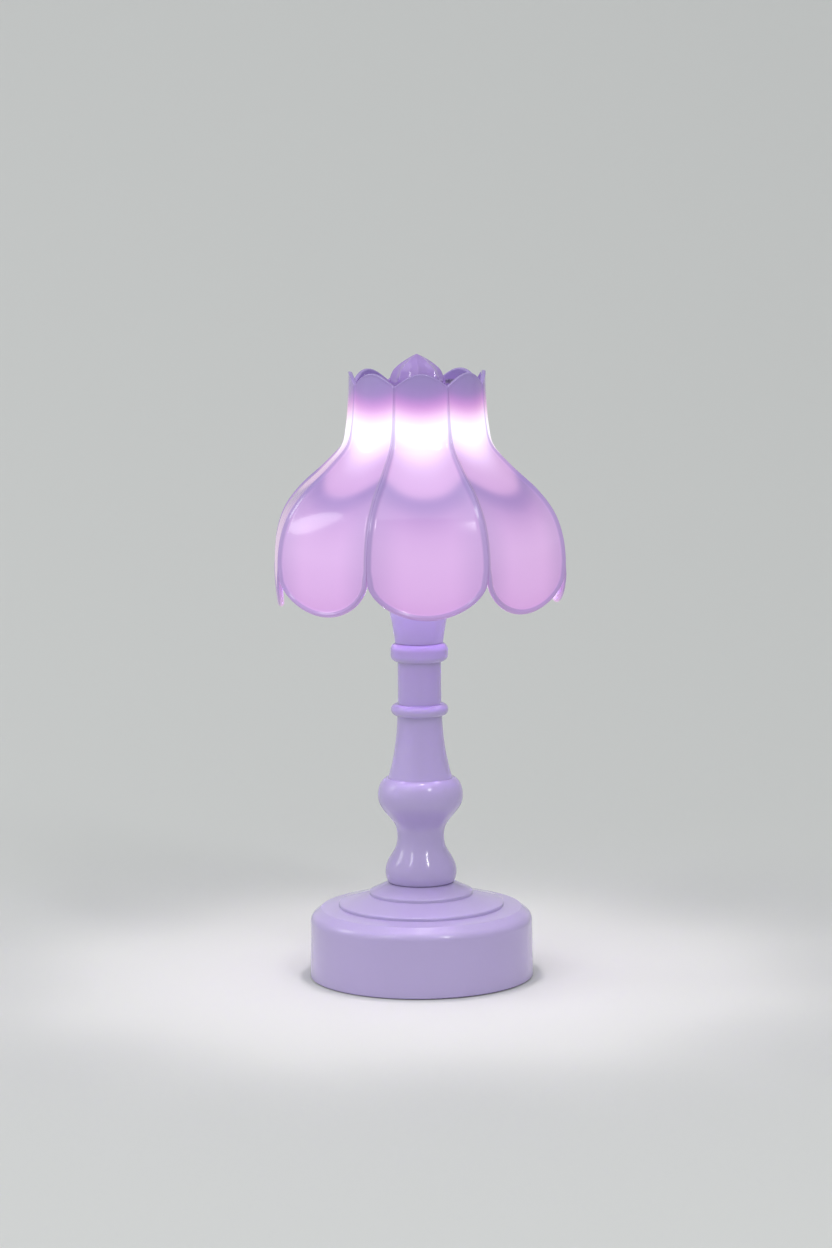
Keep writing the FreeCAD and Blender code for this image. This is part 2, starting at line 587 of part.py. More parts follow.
def contact_plates():
    """The two end contacts, each with a solder tail through the tub wall."""
    half_y, half_w, half_t = TUB_Y - 3 * FIT, TAIL_W / 2, CONTACT_T / 2
    low_x = TUB_X - CONTACT_T
    plate = block(low_x, TUB_X, -half_y, half_y, CELL_Z - CONTACT_HALF_H, CELL_Z + CONTACT_HALF_H)
    tail = block(low_x, TAIL_END, TAIL_Y - half_w, TAIL_Y + half_w, CELL_Z - half_t, CELL_Z + half_t)
    right = plate.fuse(tail).removeSplitter()
    return Part.makeCompound([right, right.mirror(Vector(), Vector(1, 0, 0))])


def battery_leads():
    """Short leads, soldered along the contacts' tails and led round to the board's ends."""
    z = CELL_Z + CONTACT_T / 2 + CELL_LEAD_R
    tail_x = TAIL_END - TAIL_OUT + CELL_LEAD_R
    right = lead([(tail_x, TAIL_Y, z), (tail_x + 6.4, TAIL_Y + 0.5, z), (tail_x + 5.2, TAIL_Y + 8.2, z + 0.6),
                  (tail_x - 1.5, BOARD_FACE + 6.4, z + 0.9), (BOARD_W / 2 + 1.0, BOARD_FACE + 7.0, z + 0.3),
                  (BOARD_W / 2 - 1.0, BOARD_FACE, z)], CELL_LEAD_R, "battery lead")
    return Part.makeCompound([right, right.mirror(Vector(), Vector(1, 0, 0))])


def ballast_ring():
    """The steel weight that sits on the tub, slotted for the lead."""
    ring = drum(BALLAST_R, TUB_TOP, BALLAST_TOP, BALLAST_HOLE_R)
    slot = block(0, BALLAST_R + 1, -LEAD_SLOT_W / 2, LEAD_SLOT_W / 2, TUB_TOP - 1, BALLAST_TOP + 1)
    slot.rotate(Vector(), Z_AXIS, math.degrees(math.atan2(LEAD_START[1], LEAD_START[0])))
    return ring.cut(slot)


def base_screws():
    """Four screws up through the plate into the cover's posts."""
    head_low = BASE_LIFT + SCREW_SINK
    head_top = head_low + SCREW_HEAD_T
    screws = []
    for x, y in at_corners(*POST_AT):
        screw = drum(SCREW_HEAD_R, head_low, head_top, 0, x, y)
        screw = screw.fuse(drum(SCREW_R, head_top, PLATE_TOP + SCREW_BITE, 0, x, y))
        screws.append(screw.cut(drum(DRIVE_R, head_low - 1, head_low + DRIVE_DEPTH, 0, x, y)).removeSplitter())
    return Part.makeCompound(screws)


def rubber_feet():
    """Four domed feet in the plate's recesses."""
    top, radius = BASE_LIFT + FOOT_RECESS, FOOT_R - FIT
    foot = lathe([(0, 0, 0), (radius, 0, EDGE_ROUND), (radius, top, 0), (0, top, 0)])
    feet = []
    for x, y in at_corners(FOOT_AT, FOOT_AT):
        copy = foot.copy()
        copy.translate(Vector(x, y, 0))
        feet.append(copy)
    return Part.makeCompound(feet)


# ---- board, switch and button ----------------------------------------------------------------------------
def circuit_board():
    """The upright driver board behind the tub."""
    board = block(-BOARD_W / 2, BOARD_W / 2, BOARD_Y, BOARD_FACE, BOARD_Z, BOARD_Z + BOARD_H)
    for x in (-BOARD_SCREW_X, BOARD_SCREW_X):
        board = board.cut(bar_y(BOARD_SCREW_R + FIT, BOARD_Y - 1, BOARD_FACE + 1, x, BOARD_SCREW_Z))
    return board


def on_board(size, x, z):
    """A block soldered to the board: width, depth and height, its middle at x and its foot at z."""
    return block(x - size[0] / 2, x + size[0] / 2, BOARD_FACE, BOARD_FACE + size[1], z, z + size[2])


def board_parts():
    """What is soldered to the board: the lead's connector, the driver chip and a capacitor."""
    foot = BOARD_Z + BOARD_FLOOR_GAP
    chip_top = foot + CHIP[2]
    capacitor_z = chip_top + BOARD_FLOOR_GAP + CAPACITOR[0]
    return Part.makeCompound([on_board(CONNECTOR, CONNECTOR_X, foot), on_board(CHIP, CHIP_X, foot),
                              bar_y(CAPACITOR[0], BOARD_FACE, BOARD_FACE + CAPACITOR[1], CHIP_X, capacitor_z)])


def board_screws():
    """Two screws that hold the board to the tub."""
    screws = []
    for x in (-BOARD_SCREW_X, BOARD_SCREW_X):
        head = bar_y(BOARD_SCREW_HEAD[0], BOARD_FACE, BOARD_FACE + BOARD_SCREW_HEAD[1], x, BOARD_SCREW_Z)
        shank = bar_y(BOARD_SCREW_R, BOARD_Y - BOARD_SCREW_L, BOARD_FACE, x, BOARD_SCREW_Z)
        screws.append(head.fuse(shank).removeSplitter())
    return Part.makeCompound(screws)


def switch_body():
    """The latching push switch, with the bore its plunger runs in."""
    body = on_board((SWITCH_W, SWITCH_L, SWITCH_W), 0, BUTTON_Z - SWITCH_W / 2)
    end = BOARD_FACE + SWITCH_L
    return body.cut(bar_y(PLUNGER_R + RUN, end - PLUNGER_IN - BUTTON_TRAVEL - FIT, end + 1, 0, BUTTON_Z))


def switch_plunger():
    """The switch's plunger, which the button's stem pushes."""
    return bar_y(PLUNGER_R, BOARD_FACE + SWITCH_L - PLUNGER_IN, PLUNGER_END, 0, BUTTON_Z)


def power_button():
    """The round button at the back: cap, retaining flange and stem."""
    cap_end = BASE_R + BUTTON_PROUD
    cap = bar_y(BUTTON_R, BUTTON_SEAT, cap_end, 0, BUTTON_Z)
    cap = cap.makeFillet(BUTTON_ROUND, [e for e in cap.Edges if e.BoundBox.YMin > cap_end - 0.01])
    flange = bar_y(BUTTON_FLANGE_R, BUTTON_SEAT - BUTTON_FLANGE_T, BUTTON_SEAT, 0, BUTTON_Z)
    stem = bar_y(BUTTON_STEM_R, PLUNGER_END, BUTTON_SEAT, 0, BUTTON_Z)
    return cap.fuse([flange, stem]).removeSplitter()


def button_spring():
    """The return spring between the guide and the button's flange."""
    seat = GUIDE_Y + GUIDE_T
    length = BUTTON_SEAT - BUTTON_FLANGE_T - seat
    return coil(BUTTON_SPRING_R, BUTTON_SPRING_WIRE, length, Vector(0, seat, BUTTON_Z), Vector(0, 1, 0))


# ---- stem ------------------------------------------------------------------------------------------------
def tie_tube():
    """The hollow threaded tube, with the slot where the lead comes out to the light source."""
    tube = drum(TUBE_R, TUBE_LOW, TUBE_HIGH, TUBE_BORE_R)
    return tube.cut(lead_exit())


def lead_exit():
    """The slot that lets the lead out through the tube and the sleeve."""
    half = LEAD_R + LEAD_SLOT_GAP
    top = DIFFUSER_Z - LEAD_SLOT_GAP
    return block(-half, half, 0, SLEEVE_R + 1, top - LEAD_SLOT_L, top)


def lower_washer():
    return drum(WASHER_R, BOSS_Z - WASHER_T, BOSS_Z, BORE_R)


def lower_nut():
    return hex_nut(BOSS_Z - WASHER_T - NUT_T, NUT_T)


def carrier_nut():
    return hex_nut(HUB_Z, JAM_NUT_T)


def stem_foot():
    """The vase-shaped foot, with a shadow line cut under its edge."""
    depth, height = FOOT_GROOVE
    radius = FOOT_PROFILE[0][1]
    groove = drum(radius + 1, SEAT_Z - 1, SEAT_Z + height, radius - depth)
    return hollow_turning(FOOT_PROFILE, SEAT_Z, 0, 0).cut(groove)


def stem_dome():
    return hollow_turning(DOME_PROFILE, DOME_Z, 0, WALL)


def stem_cone():
    return hollow_turning(CONE_PROFILE, CONE_Z, 0, WALL)


def shade_cup():
    return hollow_turning(CUP_PROFILE, CUP_Z, WALL, 0)


def lower_collar():
    """The bead above the cone: a ring rounded all the way over its rim."""
    half = LOWER_COLLAR_H / 2 - 0.05
    return lathe([(BORE_R, LOWER_COLLAR_Z, 0), (LOWER_COLLAR_R, LOWER_COLLAR_Z, half),
                  (LOWER_COLLAR_R, NECK_Z, half), (BORE_R, NECK_Z, 0)])


def upper_collar():
    """The taller collar under the cup, with rounded edges."""
    return lathe([(BORE_R, UPPER_COLLAR_Z, 0), (UPPER_COLLAR_R, UPPER_COLLAR_Z, UPPER_COLLAR_FOOT),
                  (UPPER_COLLAR_R, CUP_Z, UPPER_COLLAR_TOP), (BORE_R, CUP_Z, 0)])


def neck_tube():
    return drum(NECK_R, NECK_Z, UPPER_COLLAR_Z, NECK_R - WALL)


def light_saucer():
    """The white dished disc that closes the cup and catches the light."""
    floor, sill, top = SAUCER_Z + SAUCER_FLOOR, SAUCER_Z + 2 * SAUCER_FLOOR, SAUCER_Z + SAUCER_H
    hole = SLEEVE_R + FIT
    return lathe([(BORE_R, SAUCER_Z, 0), (SAUCER_R - WALL / 2, SAUCER_Z, 0), (SAUCER_R, floor, EDGE_ROUND),
                  (SAUCER_R, top, EDGE_ROUND), (SAUCER_R - WALL, top, EDGE_ROUND),
                  (SAUCER_R - WALL - SAUCER_FLOOR, sill, 0), (hole, sill, 0), (hole, floor, 0),
                  (BORE_R, floor, 0)])


def post_sleeve():
    """The white sleeve over the tube, from the saucer to the light source."""
    return drum(SLEEVE_R, SAUCER_Z + SAUCER_FLOOR, CARRIER_Z, BORE_R).cut(lead_exit())


# ---- light source ----------------------------------------------------------------------------------------
def led_screw_holes(radius, low, high):
    return around(drum(radius, low, high, 0, LED_SCREW_CIRCLE), LED_SCREW_COUNT, LED_SCREW_TURN)


def led_carrier():
    disc = drum(CARRIER_R, CARRIER_Z, HUB_Z, BORE_R)
    return disc.cut(Part.makeCompound(led_screw_holes(LED_SCREW_R, CARRIER_Z, CARRIER_Z + LED_SCREW_BITE)))


def led_board():
    disc = drum(LED_BOARD_R, LED_BOARD_Z, CARRIER_Z, LED_BOARD_HOLE_R)
    return disc.cut(Part.makeCompound(led_screw_holes(LED_SCREW_R + RUN, LED_BOARD_Z, CARRIER_Z)))


def led_chips():
    half = LED_SIZE / 2
    chip = block(LED_CIRCLE - half, LED_CIRCLE + half, -half, half, LED_Z, LED_BOARD_Z)
    return Part.makeCompound(around(chip, LED_COUNT, 180 / LED_COUNT))


def led_screws():
    radius, height = LED_SCREW_HEAD
    head = drum(radius, LED_BOARD_Z - height, LED_BOARD_Z, 0, LED_SCREW_CIRCLE)
    shank = drum(LED_SCREW_R, LED_BOARD_Z, CARRIER_Z + LED_SCREW_BITE, 0, LED_SCREW_CIRCLE)
    return Part.makeCompound(around(head.fuse(shank).removeSplitter(), LED_SCREW_COUNT, LED_SCREW_TURN))


def diffuser_ring():
    """The milky cover under the LEDs, a dished ring that snaps over the carrier's edge."""
    plate = drum(DIFFUSER_R, DIFFUSER_Z, DIFFUSER_Z + DIFFUSER_T, DIFFUSER_HOLE_R)
    skirt = drum(DIFFUSER_R, DIFFUSER_Z, HUB_Z - DIFFUSER_LIP, CARRIER_R)
    return plate.fuse(skirt).removeSplitter()


def led_lead():
    """The two-core lead: up through the ballast's slot, along the tube and out to the LED board."""
    x, y, z = LEAD_START
    rise = LED_BOARD_Z - z
    out = (LED_BOARD_HOLE_R + DIFFUSER_HOLE_R) / 2
    return lead([LEAD_START, (x, y, z + 10.2), (0, 0, z + 11.4), (0, 0, z + rise - 1.8 * out),
                 (0, out, z + rise - 0.9 * out), (0, out, LED_BOARD_Z)], LEAD_R, "led lead")


# ---- shade: heights in this section are above the top of the hub -----------------------------------------
def ease(value, low, high):
    """0 below low, 1 above high, and a smooth step between."""
    t = min(max((value - low) / (high - low), 0.0), 1.0)
    return t * t * (3 - 2 * t)


def corner_share(height):
    """How much further out than its middle a petal's edge is, as a share of the radius."""
    if height >= CORNER_MID:
        return CORNER_AT_MID * (1 - ease(height, CORNER_MID, CORNER_START))
    t = min((CORNER_MID - height) / (CORNER_MID - CORNER_END), 1.0)
    return CORNER_AT_MID + (CORNER_AT_END - CORNER_AT_MID) * t


def shade_radius(angle, height):
    """Outer radius of the panel at an angle from the petal's middle."""
    middle = curve_value(SHADE_PROFILE, height)[0]
    flat = (1 / math.cos(angle) - 1) / (1 / math.cos(PETAL_ANGLE) - 1)
    return middle * (1 + corner_share(height) * flat)


def petal_top(share):
    return PETAL_NOTCH + PETAL_SCALLOP * math.cos(share * math.pi / 2)


def petal_bottom(share):
    """Height of the lower edge and the steepness of its outline."""
    arc = math.radians(PETAL_TIP_ARC)
    t = math.asin(max(-1.0, min(1.0, share * math.sin(arc))))
    half_width = PETAL_ANGLE * curve_value(SHADE_PROFILE, PETAL_TIP_CENTRE)[0]
    steep = PETAL_TIP_H * math.sin(abs(t)) * math.sin(arc) / (half_width * math.cos(t))
    return PETAL_TIP_CENTRE - PETAL_TIP_H * math.cos(t), steep


def rim_height(distance, height):
    """The rounded bead along a petal's edge, which is low at the neck."""
    if distance >= RIM_W:
        return 0.0
    bead = math.sin(math.pi * (0.14 + 0.86 * distance / RIM_W)) ** 0.8
    return RIM_H * bead * (1 - (1 - RIM_NECK_SHARE) * ease(height, *RIM_FADE))


def petal_point(across, down, raised):
    """One point of a petal's face; across is -1..1, down 0..1, and the bead's bands keep their width."""
    height = PETAL_NOTCH + (PETAL_TIP_CENTRE - PETAL_TIP_H - PETAL_NOTCH) * down
    for _ in range(12):
        radius = shade_radius(0, height)
        limit = PETAL_ANGLE - PETAL_GAP / radius
        band_angle = RIM_W / radius
        if abs(across) > 1 - SIDE_BAND:
            angle = limit - (1 - abs(across)) / SIDE_BAND * band_angle
        else:
            angle = abs(across) / (1 - SIDE_BAND) * (limit - band_angle)
        share = angle / limit
        top, (bottom, steep) = petal_top(share), petal_bottom(share)
        low_band = min(RIM_W * math.sqrt(1 + steep * steep), 0.3 * (top - bottom))
        if down < END_BAND:
            height = top - RIM_W * down / END_BAND
        elif down > 1 - END_BAND:
            height = bottom + low_band * (1 - down) / END_BAND
        else:
            t = (down - END_BAND) / (1 - 2 * END_BAND)
            height = (top - RIM_W) + (bottom + low_band - top + RIM_W) * t
    radius = shade_radius(angle, height)
    slope = curve_value(SHADE_PROFILE, height)[1]
    norm = math.sqrt(1 + slope * slope)
    offset = -PETAL_T
    if raised:
        side, lower = (limit - angle) * radius, (height - bottom) / math.sqrt(1 + steep * steep)
        offset = rim_height(min(side, lower, (top - height) * norm), height)
    radius += offset / norm
    height -= offset * slope / norm
    angle = math.copysign(angle, across)
    return Vector(radius * math.sin(angle), -radius * math.cos(angle), TAB_Z + height)


def petal_face(raised):
    """A smooth cubic face over the petal's grid of points, which are its poles."""
    bands = [0.0, 0.18, 0.4, 0.65, 0.85]
    across = [-1 + SIDE_BAND * b for b in bands] + [-0.6, -0.5, -0.3, -0.1]
    across += [-a for a in reversed(across)]
    down = [END_BAND * b for b in bands] + [END_BAND, END_BAND + 0.03]
    down += [down[-1] + (1 - 2 * down[-1]) * i / 22 for i in range(1, 22)]
    down += [1 - d for d in reversed(down[:7])]
    poles = [[petal_point(a, d, raised) for d in down] for a in across]
    (knots_a, mults_a), (knots_d, mults_d) = clamped(len(across)), clamped(len(down))
    surface = Part.BSplineSurface()
    surface.buildFromPolesMultsKnots(poles, mults_a, mults_d, knots_a, knots_d, False, False, 3, 3)
    return surface.toShape()


def clamped(count):
    """Knots and multiplicities of an even cubic that starts and ends on its first and last poles."""
    inner = count - 4
    return [float(i) for i in range(inner + 2)], [4] + [1] * inner + [4]


def petal():
    """Petal 1: a rimmed panel with an inward tab that is screwed to the hub."""
    outer, inner = petal_face(True), petal_face(False)
    faces = [outer, inner]
    for a, b in zip(outer.Edges, inner.Edges):
        faces.append(Part.makeRuledSurface(a, b))
    shell = Part.makeShell(faces)
    shell.sewShape()
    panel = Part.makeSolid(shell)
    if panel.Volume < 0:
        panel.reverse()
    tab = block(-TAB_W / 2, TAB_W / 2, -PETAL_IN_R - PETAL_T / 2, -PETAL_IN_R + TAB_L, TAB_Z, TAB_Z + TAB_T)
    hole = drum(PETAL_SCREW_R + FIT, TAB_Z - 1, TAB_Z + TAB_T + 1, 0, 0, -PETAL_SCREW_CIRCLE)
    return panel.fuse(tab).cut(hole)


def shade_hub():
    """The disc that carries the eight petals and drops over the jam nut."""
    radius = min(curve_value(SHADE_PROFILE, -HUB_T)[0], curve_value(SHADE_PROFILE, 0)[0]) - PETAL_T - HUB_GAP
    hole = drum(PETAL_SCREW_R, HUB_Z + FIT, TAB_Z + 1, 0, 0, -PETAL_SCREW_CIRCLE)
    return drum(radius, HUB_Z, TAB_Z, HUB_HOLE_R).cut(Part.makeCompound(around(hole, PETAL_COUNT)))


def petal_screws():
    top = TAB_Z + TAB_T
    radius, height = PETAL_SCREW_HEAD
    slot_r, slot_depth = PETAL_SCREW_SLOT
    head = drum(radius, top, top + height, 0, 0, -PETAL_SCREW_CIRCLE)
    shank = drum(PETAL_SCREW_R, HUB_Z + 2 * FIT, top, 0, 0, -PETAL_SCREW_CIRCLE)
    slot = drum(slot_r, top + height - slot_depth, top + height + 1, 0, 0, -PETAL_SCREW_CIRCLE)
    return Part.makeCompound(around(head.fuse(shank).cut(slot).removeSplitter(), PETAL_COUNT))


# ---- finial ----------------------------------------------------------------------------------------------
def finial_washer():
    return drum(FINIAL_WASHER_R, TAB_Z, FINIAL_Z, BORE_R)


def finial_insert():
    """The brass insert that screws on the tube's end."""
    body = drum(INSERT_R, FINIAL_Z, FINIAL_Z + INSERT_L)
    return body.cut(drum(TUBE_R + RUN, FINIAL_Z, FINIAL_Z + INSERT_L - INSERT_ROOF))


def finial_bud():
    """The clear bud: a smooth pointed turning over the insert."""
    tip, axis_point = Vector(0, 0, FINIAL_Z + FINIAL_H), Vector(0, 0, FINIAL_Z)
    spline = Part.BSplineCurve()
    spline.interpolate([Vector(r, 0, FINIAL_Z + z) for z, r in FINIAL_PROFILE] + [tip])
    edges = [spline.toShape(), Part.LineSegment(tip, axis_point).toShape(),
             Part.LineSegment(axis_point, Vector(FINIAL_PROFILE[0][1], 0, FINIAL_Z)).toShape()]
    bud = Part.Face(Part.Wire(edges)).revolve(Vector(), Z_AXIS, 360)
    return bud.cut(drum(INSERT_R, FINIAL_Z, FINIAL_Z + INSERT_L))


NODES = {
    "base_cover": base_cover, "base_plate": base_plate, "battery_door": battery_door,
    "battery_cells": battery_cells, "cell_springs": cell_springs, "contact_plates": contact_plates,
    "battery_leads": battery_leads, "ballast_ring": ballast_ring, "base_screws": base_screws,
    "rubber_feet": rubber_feet, "circuit_board": circuit_board, "board_parts": board_parts,
    "board_screws": board_screws, "switch_body": switch_body, "switch_plunger": switch_plunger,
    "power_button": power_button, "button_spring": button_spring, "tie_tube": tie_tube,
    "lower_washer": lower_washer, "lower_nut": lower_nut, "carrier_nut": carrier_nut,
    "stem_foot": stem_foot, "stem_dome": stem_dome, "stem_cone": stem_cone, "shade_cup": shade_cup,
    "lower_collar": lower_collar, "neck_tube": neck_tube, "upper_collar": upper_collar,
    "light_saucer": light_saucer, "post_sleeve": post_sleeve, "led_carrier": led_carrier,
    "led_board": led_board, "led_chips": led_chips, "led_screws": led_screws, "diffuser_ring": diffuser_ring,
    "led_lead": led_lead, "shade_hub": shade_hub, "petal_screws": petal_screws,
    "finial_washer": finial_washer, "finial_insert": finial_insert, "finial_bud": finial_bud,
}

os.makedirs("parts", exist_ok=True)
for name, make in NODES.items():
    shape = make()
    shape.exportStep(f"parts/{name}.step")
    print(name, len(shape.Solids), shape.isValid(), round(shape.Volume, 1))

one_petal = petal()
print("petal", len(one_petal.Solids), one_petal.isValid(), round(one_petal.Volume, 1))
for number, turned in enumerate(around(one_petal, PETAL_COUNT), start=1):
    turned.exportStep(f"parts/petal_{number}.step")
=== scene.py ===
"""Looks of the cordless petal lamp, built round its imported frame.

Every shape is in metres in the lamp's own frame: +Z up the stem, petal 1 facing -Y, feet on z = 0.
The eight petals and the bud are numpy surfaces; the turned stem, base and fittings are frame nodes that get finishes.
"""

import json
import logging
import math
from dataclasses import dataclass, field
from enum import Enum

import bmesh
import bpy
import numpy as np
from mathutils import Euler, Matrix, Vector

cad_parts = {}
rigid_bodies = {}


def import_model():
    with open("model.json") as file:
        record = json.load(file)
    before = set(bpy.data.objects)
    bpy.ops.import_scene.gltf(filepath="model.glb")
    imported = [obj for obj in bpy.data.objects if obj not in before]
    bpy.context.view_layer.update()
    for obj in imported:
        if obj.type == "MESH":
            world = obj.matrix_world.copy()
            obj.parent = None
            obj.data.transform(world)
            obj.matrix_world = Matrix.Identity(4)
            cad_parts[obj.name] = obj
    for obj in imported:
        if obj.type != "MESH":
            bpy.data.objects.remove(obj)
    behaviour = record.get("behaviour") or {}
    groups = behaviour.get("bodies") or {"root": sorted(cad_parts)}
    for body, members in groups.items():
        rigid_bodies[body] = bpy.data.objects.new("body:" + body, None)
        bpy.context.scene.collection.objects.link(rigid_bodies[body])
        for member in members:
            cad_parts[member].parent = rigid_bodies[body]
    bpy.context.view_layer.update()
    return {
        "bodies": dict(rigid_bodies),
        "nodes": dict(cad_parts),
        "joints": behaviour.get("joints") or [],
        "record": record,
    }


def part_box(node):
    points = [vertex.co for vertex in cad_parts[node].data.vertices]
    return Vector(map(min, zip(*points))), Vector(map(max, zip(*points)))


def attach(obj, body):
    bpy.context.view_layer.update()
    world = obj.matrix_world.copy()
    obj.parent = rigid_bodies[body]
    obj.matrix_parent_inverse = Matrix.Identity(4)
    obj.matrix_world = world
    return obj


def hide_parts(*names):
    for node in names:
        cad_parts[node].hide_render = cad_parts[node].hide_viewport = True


MM = 0.001
LOG = logging.getLogger("petal_lamp")
Rgb = tuple[float, float, float]
Socket = bpy.types.NodeSocket


class Slot(Enum):
    """Material slots of the lamp's record."""

    SHELL = "shell"
    PETAL = "petal"
    BUD = "bud"
    WHITE = "white_plastic"
    MILKY = "milky"
    DARK = "dark_plastic"
    STEEL = "steel"
    IRON = "iron"
    ALU = "alu"
    BRASS = "brass"
    RUBBER = "rubber"
    BOARD = "board"
    LED = "led"
    LEAD = "lead"
    CELL = "cell"


# ---- node helpers ----------------------------------------------------------------------------------------
class Nodes:
    """Short-hand for filling one node tree."""

    def __init__(self, tree: bpy.types.NodeTree) -> None:
        """Keep the tree.

        Args:
            tree: a material's or a group's node tree.
        """
        self.tree = tree

    def add(self, kind: str, **values: object) -> bpy.types.Node:
        """Add a node and set its properties.

        Args:
            kind: the node's type name.
            values: properties to set on it.

        Returns:
            The new node.
        """
        node = self.tree.nodes.new(kind)
        for key, value in values.items():
            setattr(node, key, value)
        return node

    def feed(self, source: Socket | float | tuple, target: Socket) -> None:
        """Link a socket, or set a plain value, on a target socket."""
        if isinstance(source, bpy.types.NodeSocket):
            self.tree.links.new(source, target)
        else:
            target.default_value = source

    def math(self, operation: str, *inputs: Socket | float, clamp: bool = False) -> Socket:
        """A Math node.

        Args:
            operation: the node's operation.
            inputs: up to three sockets or numbers.
            clamp: whether to hold the result in 0 to 1.

        Returns:
            The node's output socket.
        """
        node = self.add("ShaderNodeMath", operation=operation, use_clamp=clamp)
        for source, target in zip(inputs, node.inputs):
            self.feed(source, target)
        return node.outputs[0]

    def span(self, value: Socket, low: float, high: float, to_low: float = 0.0, to_high: float = 1.0) -> Socket:
        """A smooth Map Range.

        Args:
            value: what is mapped.
            low: where the ramp starts.
            high: where it ends.
            to_low: the result at and below low.
            to_high: the result at and above high.

        Returns:
            The mapped value.
        """
        node = self.add("ShaderNodeMapRange", interpolation_type="SMOOTHSTEP")
        self.feed(value, node.inputs["Value"])
        for name, number in zip(("From Min", "From Max", "To Min", "To Max"), (low, high, to_low, to_high)):
            node.inputs[name].default_value = number
        return node.outputs["Result"]

    def mix(self, factor: Socket | float, one: Socket | tuple, two: Socket | tuple, blend: str = "MIX") -> Socket:
        """A colour Mix node.

        Args:
            factor: how much of the second colour.
            one: first colour.
            two: second colour.
            blend: the node's blend type.

        Returns:
            The colour output.
        """
        node = self.add("ShaderNodeMix", data_type="RGBA", blend_type=blend)
        self.feed(factor, node.inputs[0])
        self.feed(one, node.inputs[6])
        self.feed(two, node.inputs[7])
        return node.outputs[2]

    def place(self) -> Socket:
        """Object coordinates, in metres."""
        return self.add("ShaderNodeTexCoord").outputs["Object"]

    def ramp(self, value: Socket, stops: list[tuple[float, Rgb]]) -> Socket:
        """A colour ramp, smoothed through its stops.

        Args:
            value: 0 to 1 along the ramp.
            stops: position and colour of each stop, in order.

        Returns:
            The colour output.
        """
        node = self.add("ShaderNodeValToRGB")
        node.color_ramp.interpolation = "B_SPLINE"
        elements = node.color_ramp.elements
        while len(elements) < len(stops):
            elements.new(0.5)
        for element, (position, color) in zip(elements, stops):
            element.position = position
            element.color = (*color, 1.0)
        self.feed(value, node.inputs[0])
        return node.outputs["Color"]

    def noise(self, vector: Socket, scale: float | Socket, detail: float = 3.0) -> Socket:
        """Smooth noise.

        Args:
            vector: where it is read.
            scale: how fine it is.
            detail: how many octaves it has.

        Returns:
            The noise, 0 to 1.
        """
        node = self.add("ShaderNodeTexNoise")
        self.feed(vector, node.inputs["Vector"])
        self.feed(scale, node.inputs["Scale"])
        node.inputs["Detail"].default_value = detail
        return node.outputs["Fac"]


def new_group(name: str, inputs: dict[str, float], outputs: dict[str, str]) -> tuple[Nodes, dict, dict]:
    """Make an empty shader node group.

    Args:
        name: the group's name.
        inputs: float inputs and their defaults.
        outputs: outputs and their socket types.

    Returns:
        The tree's helper, its input sockets and its output sockets, by name.
    """
    tree = bpy.data.node_groups.new(name, "ShaderNodeTree")
    for key, value in inputs.items():
        socket = tree.interface.new_socket(name=key, in_out="INPUT", socket_type="NodeSocketFloat")
        socket.default_value = value
    for key, kind in outputs.items():
        tree.interface.new_socket(name=key, in_out="OUTPUT", socket_type=kind)
    nodes = Nodes(tree)
    start, end = nodes.add("NodeGroupInput"), nodes.add("NodeGroupOutput")
    return nodes, {key: start.outputs[key] for key in inputs}, {key: end.inputs[key] for key in outputs}


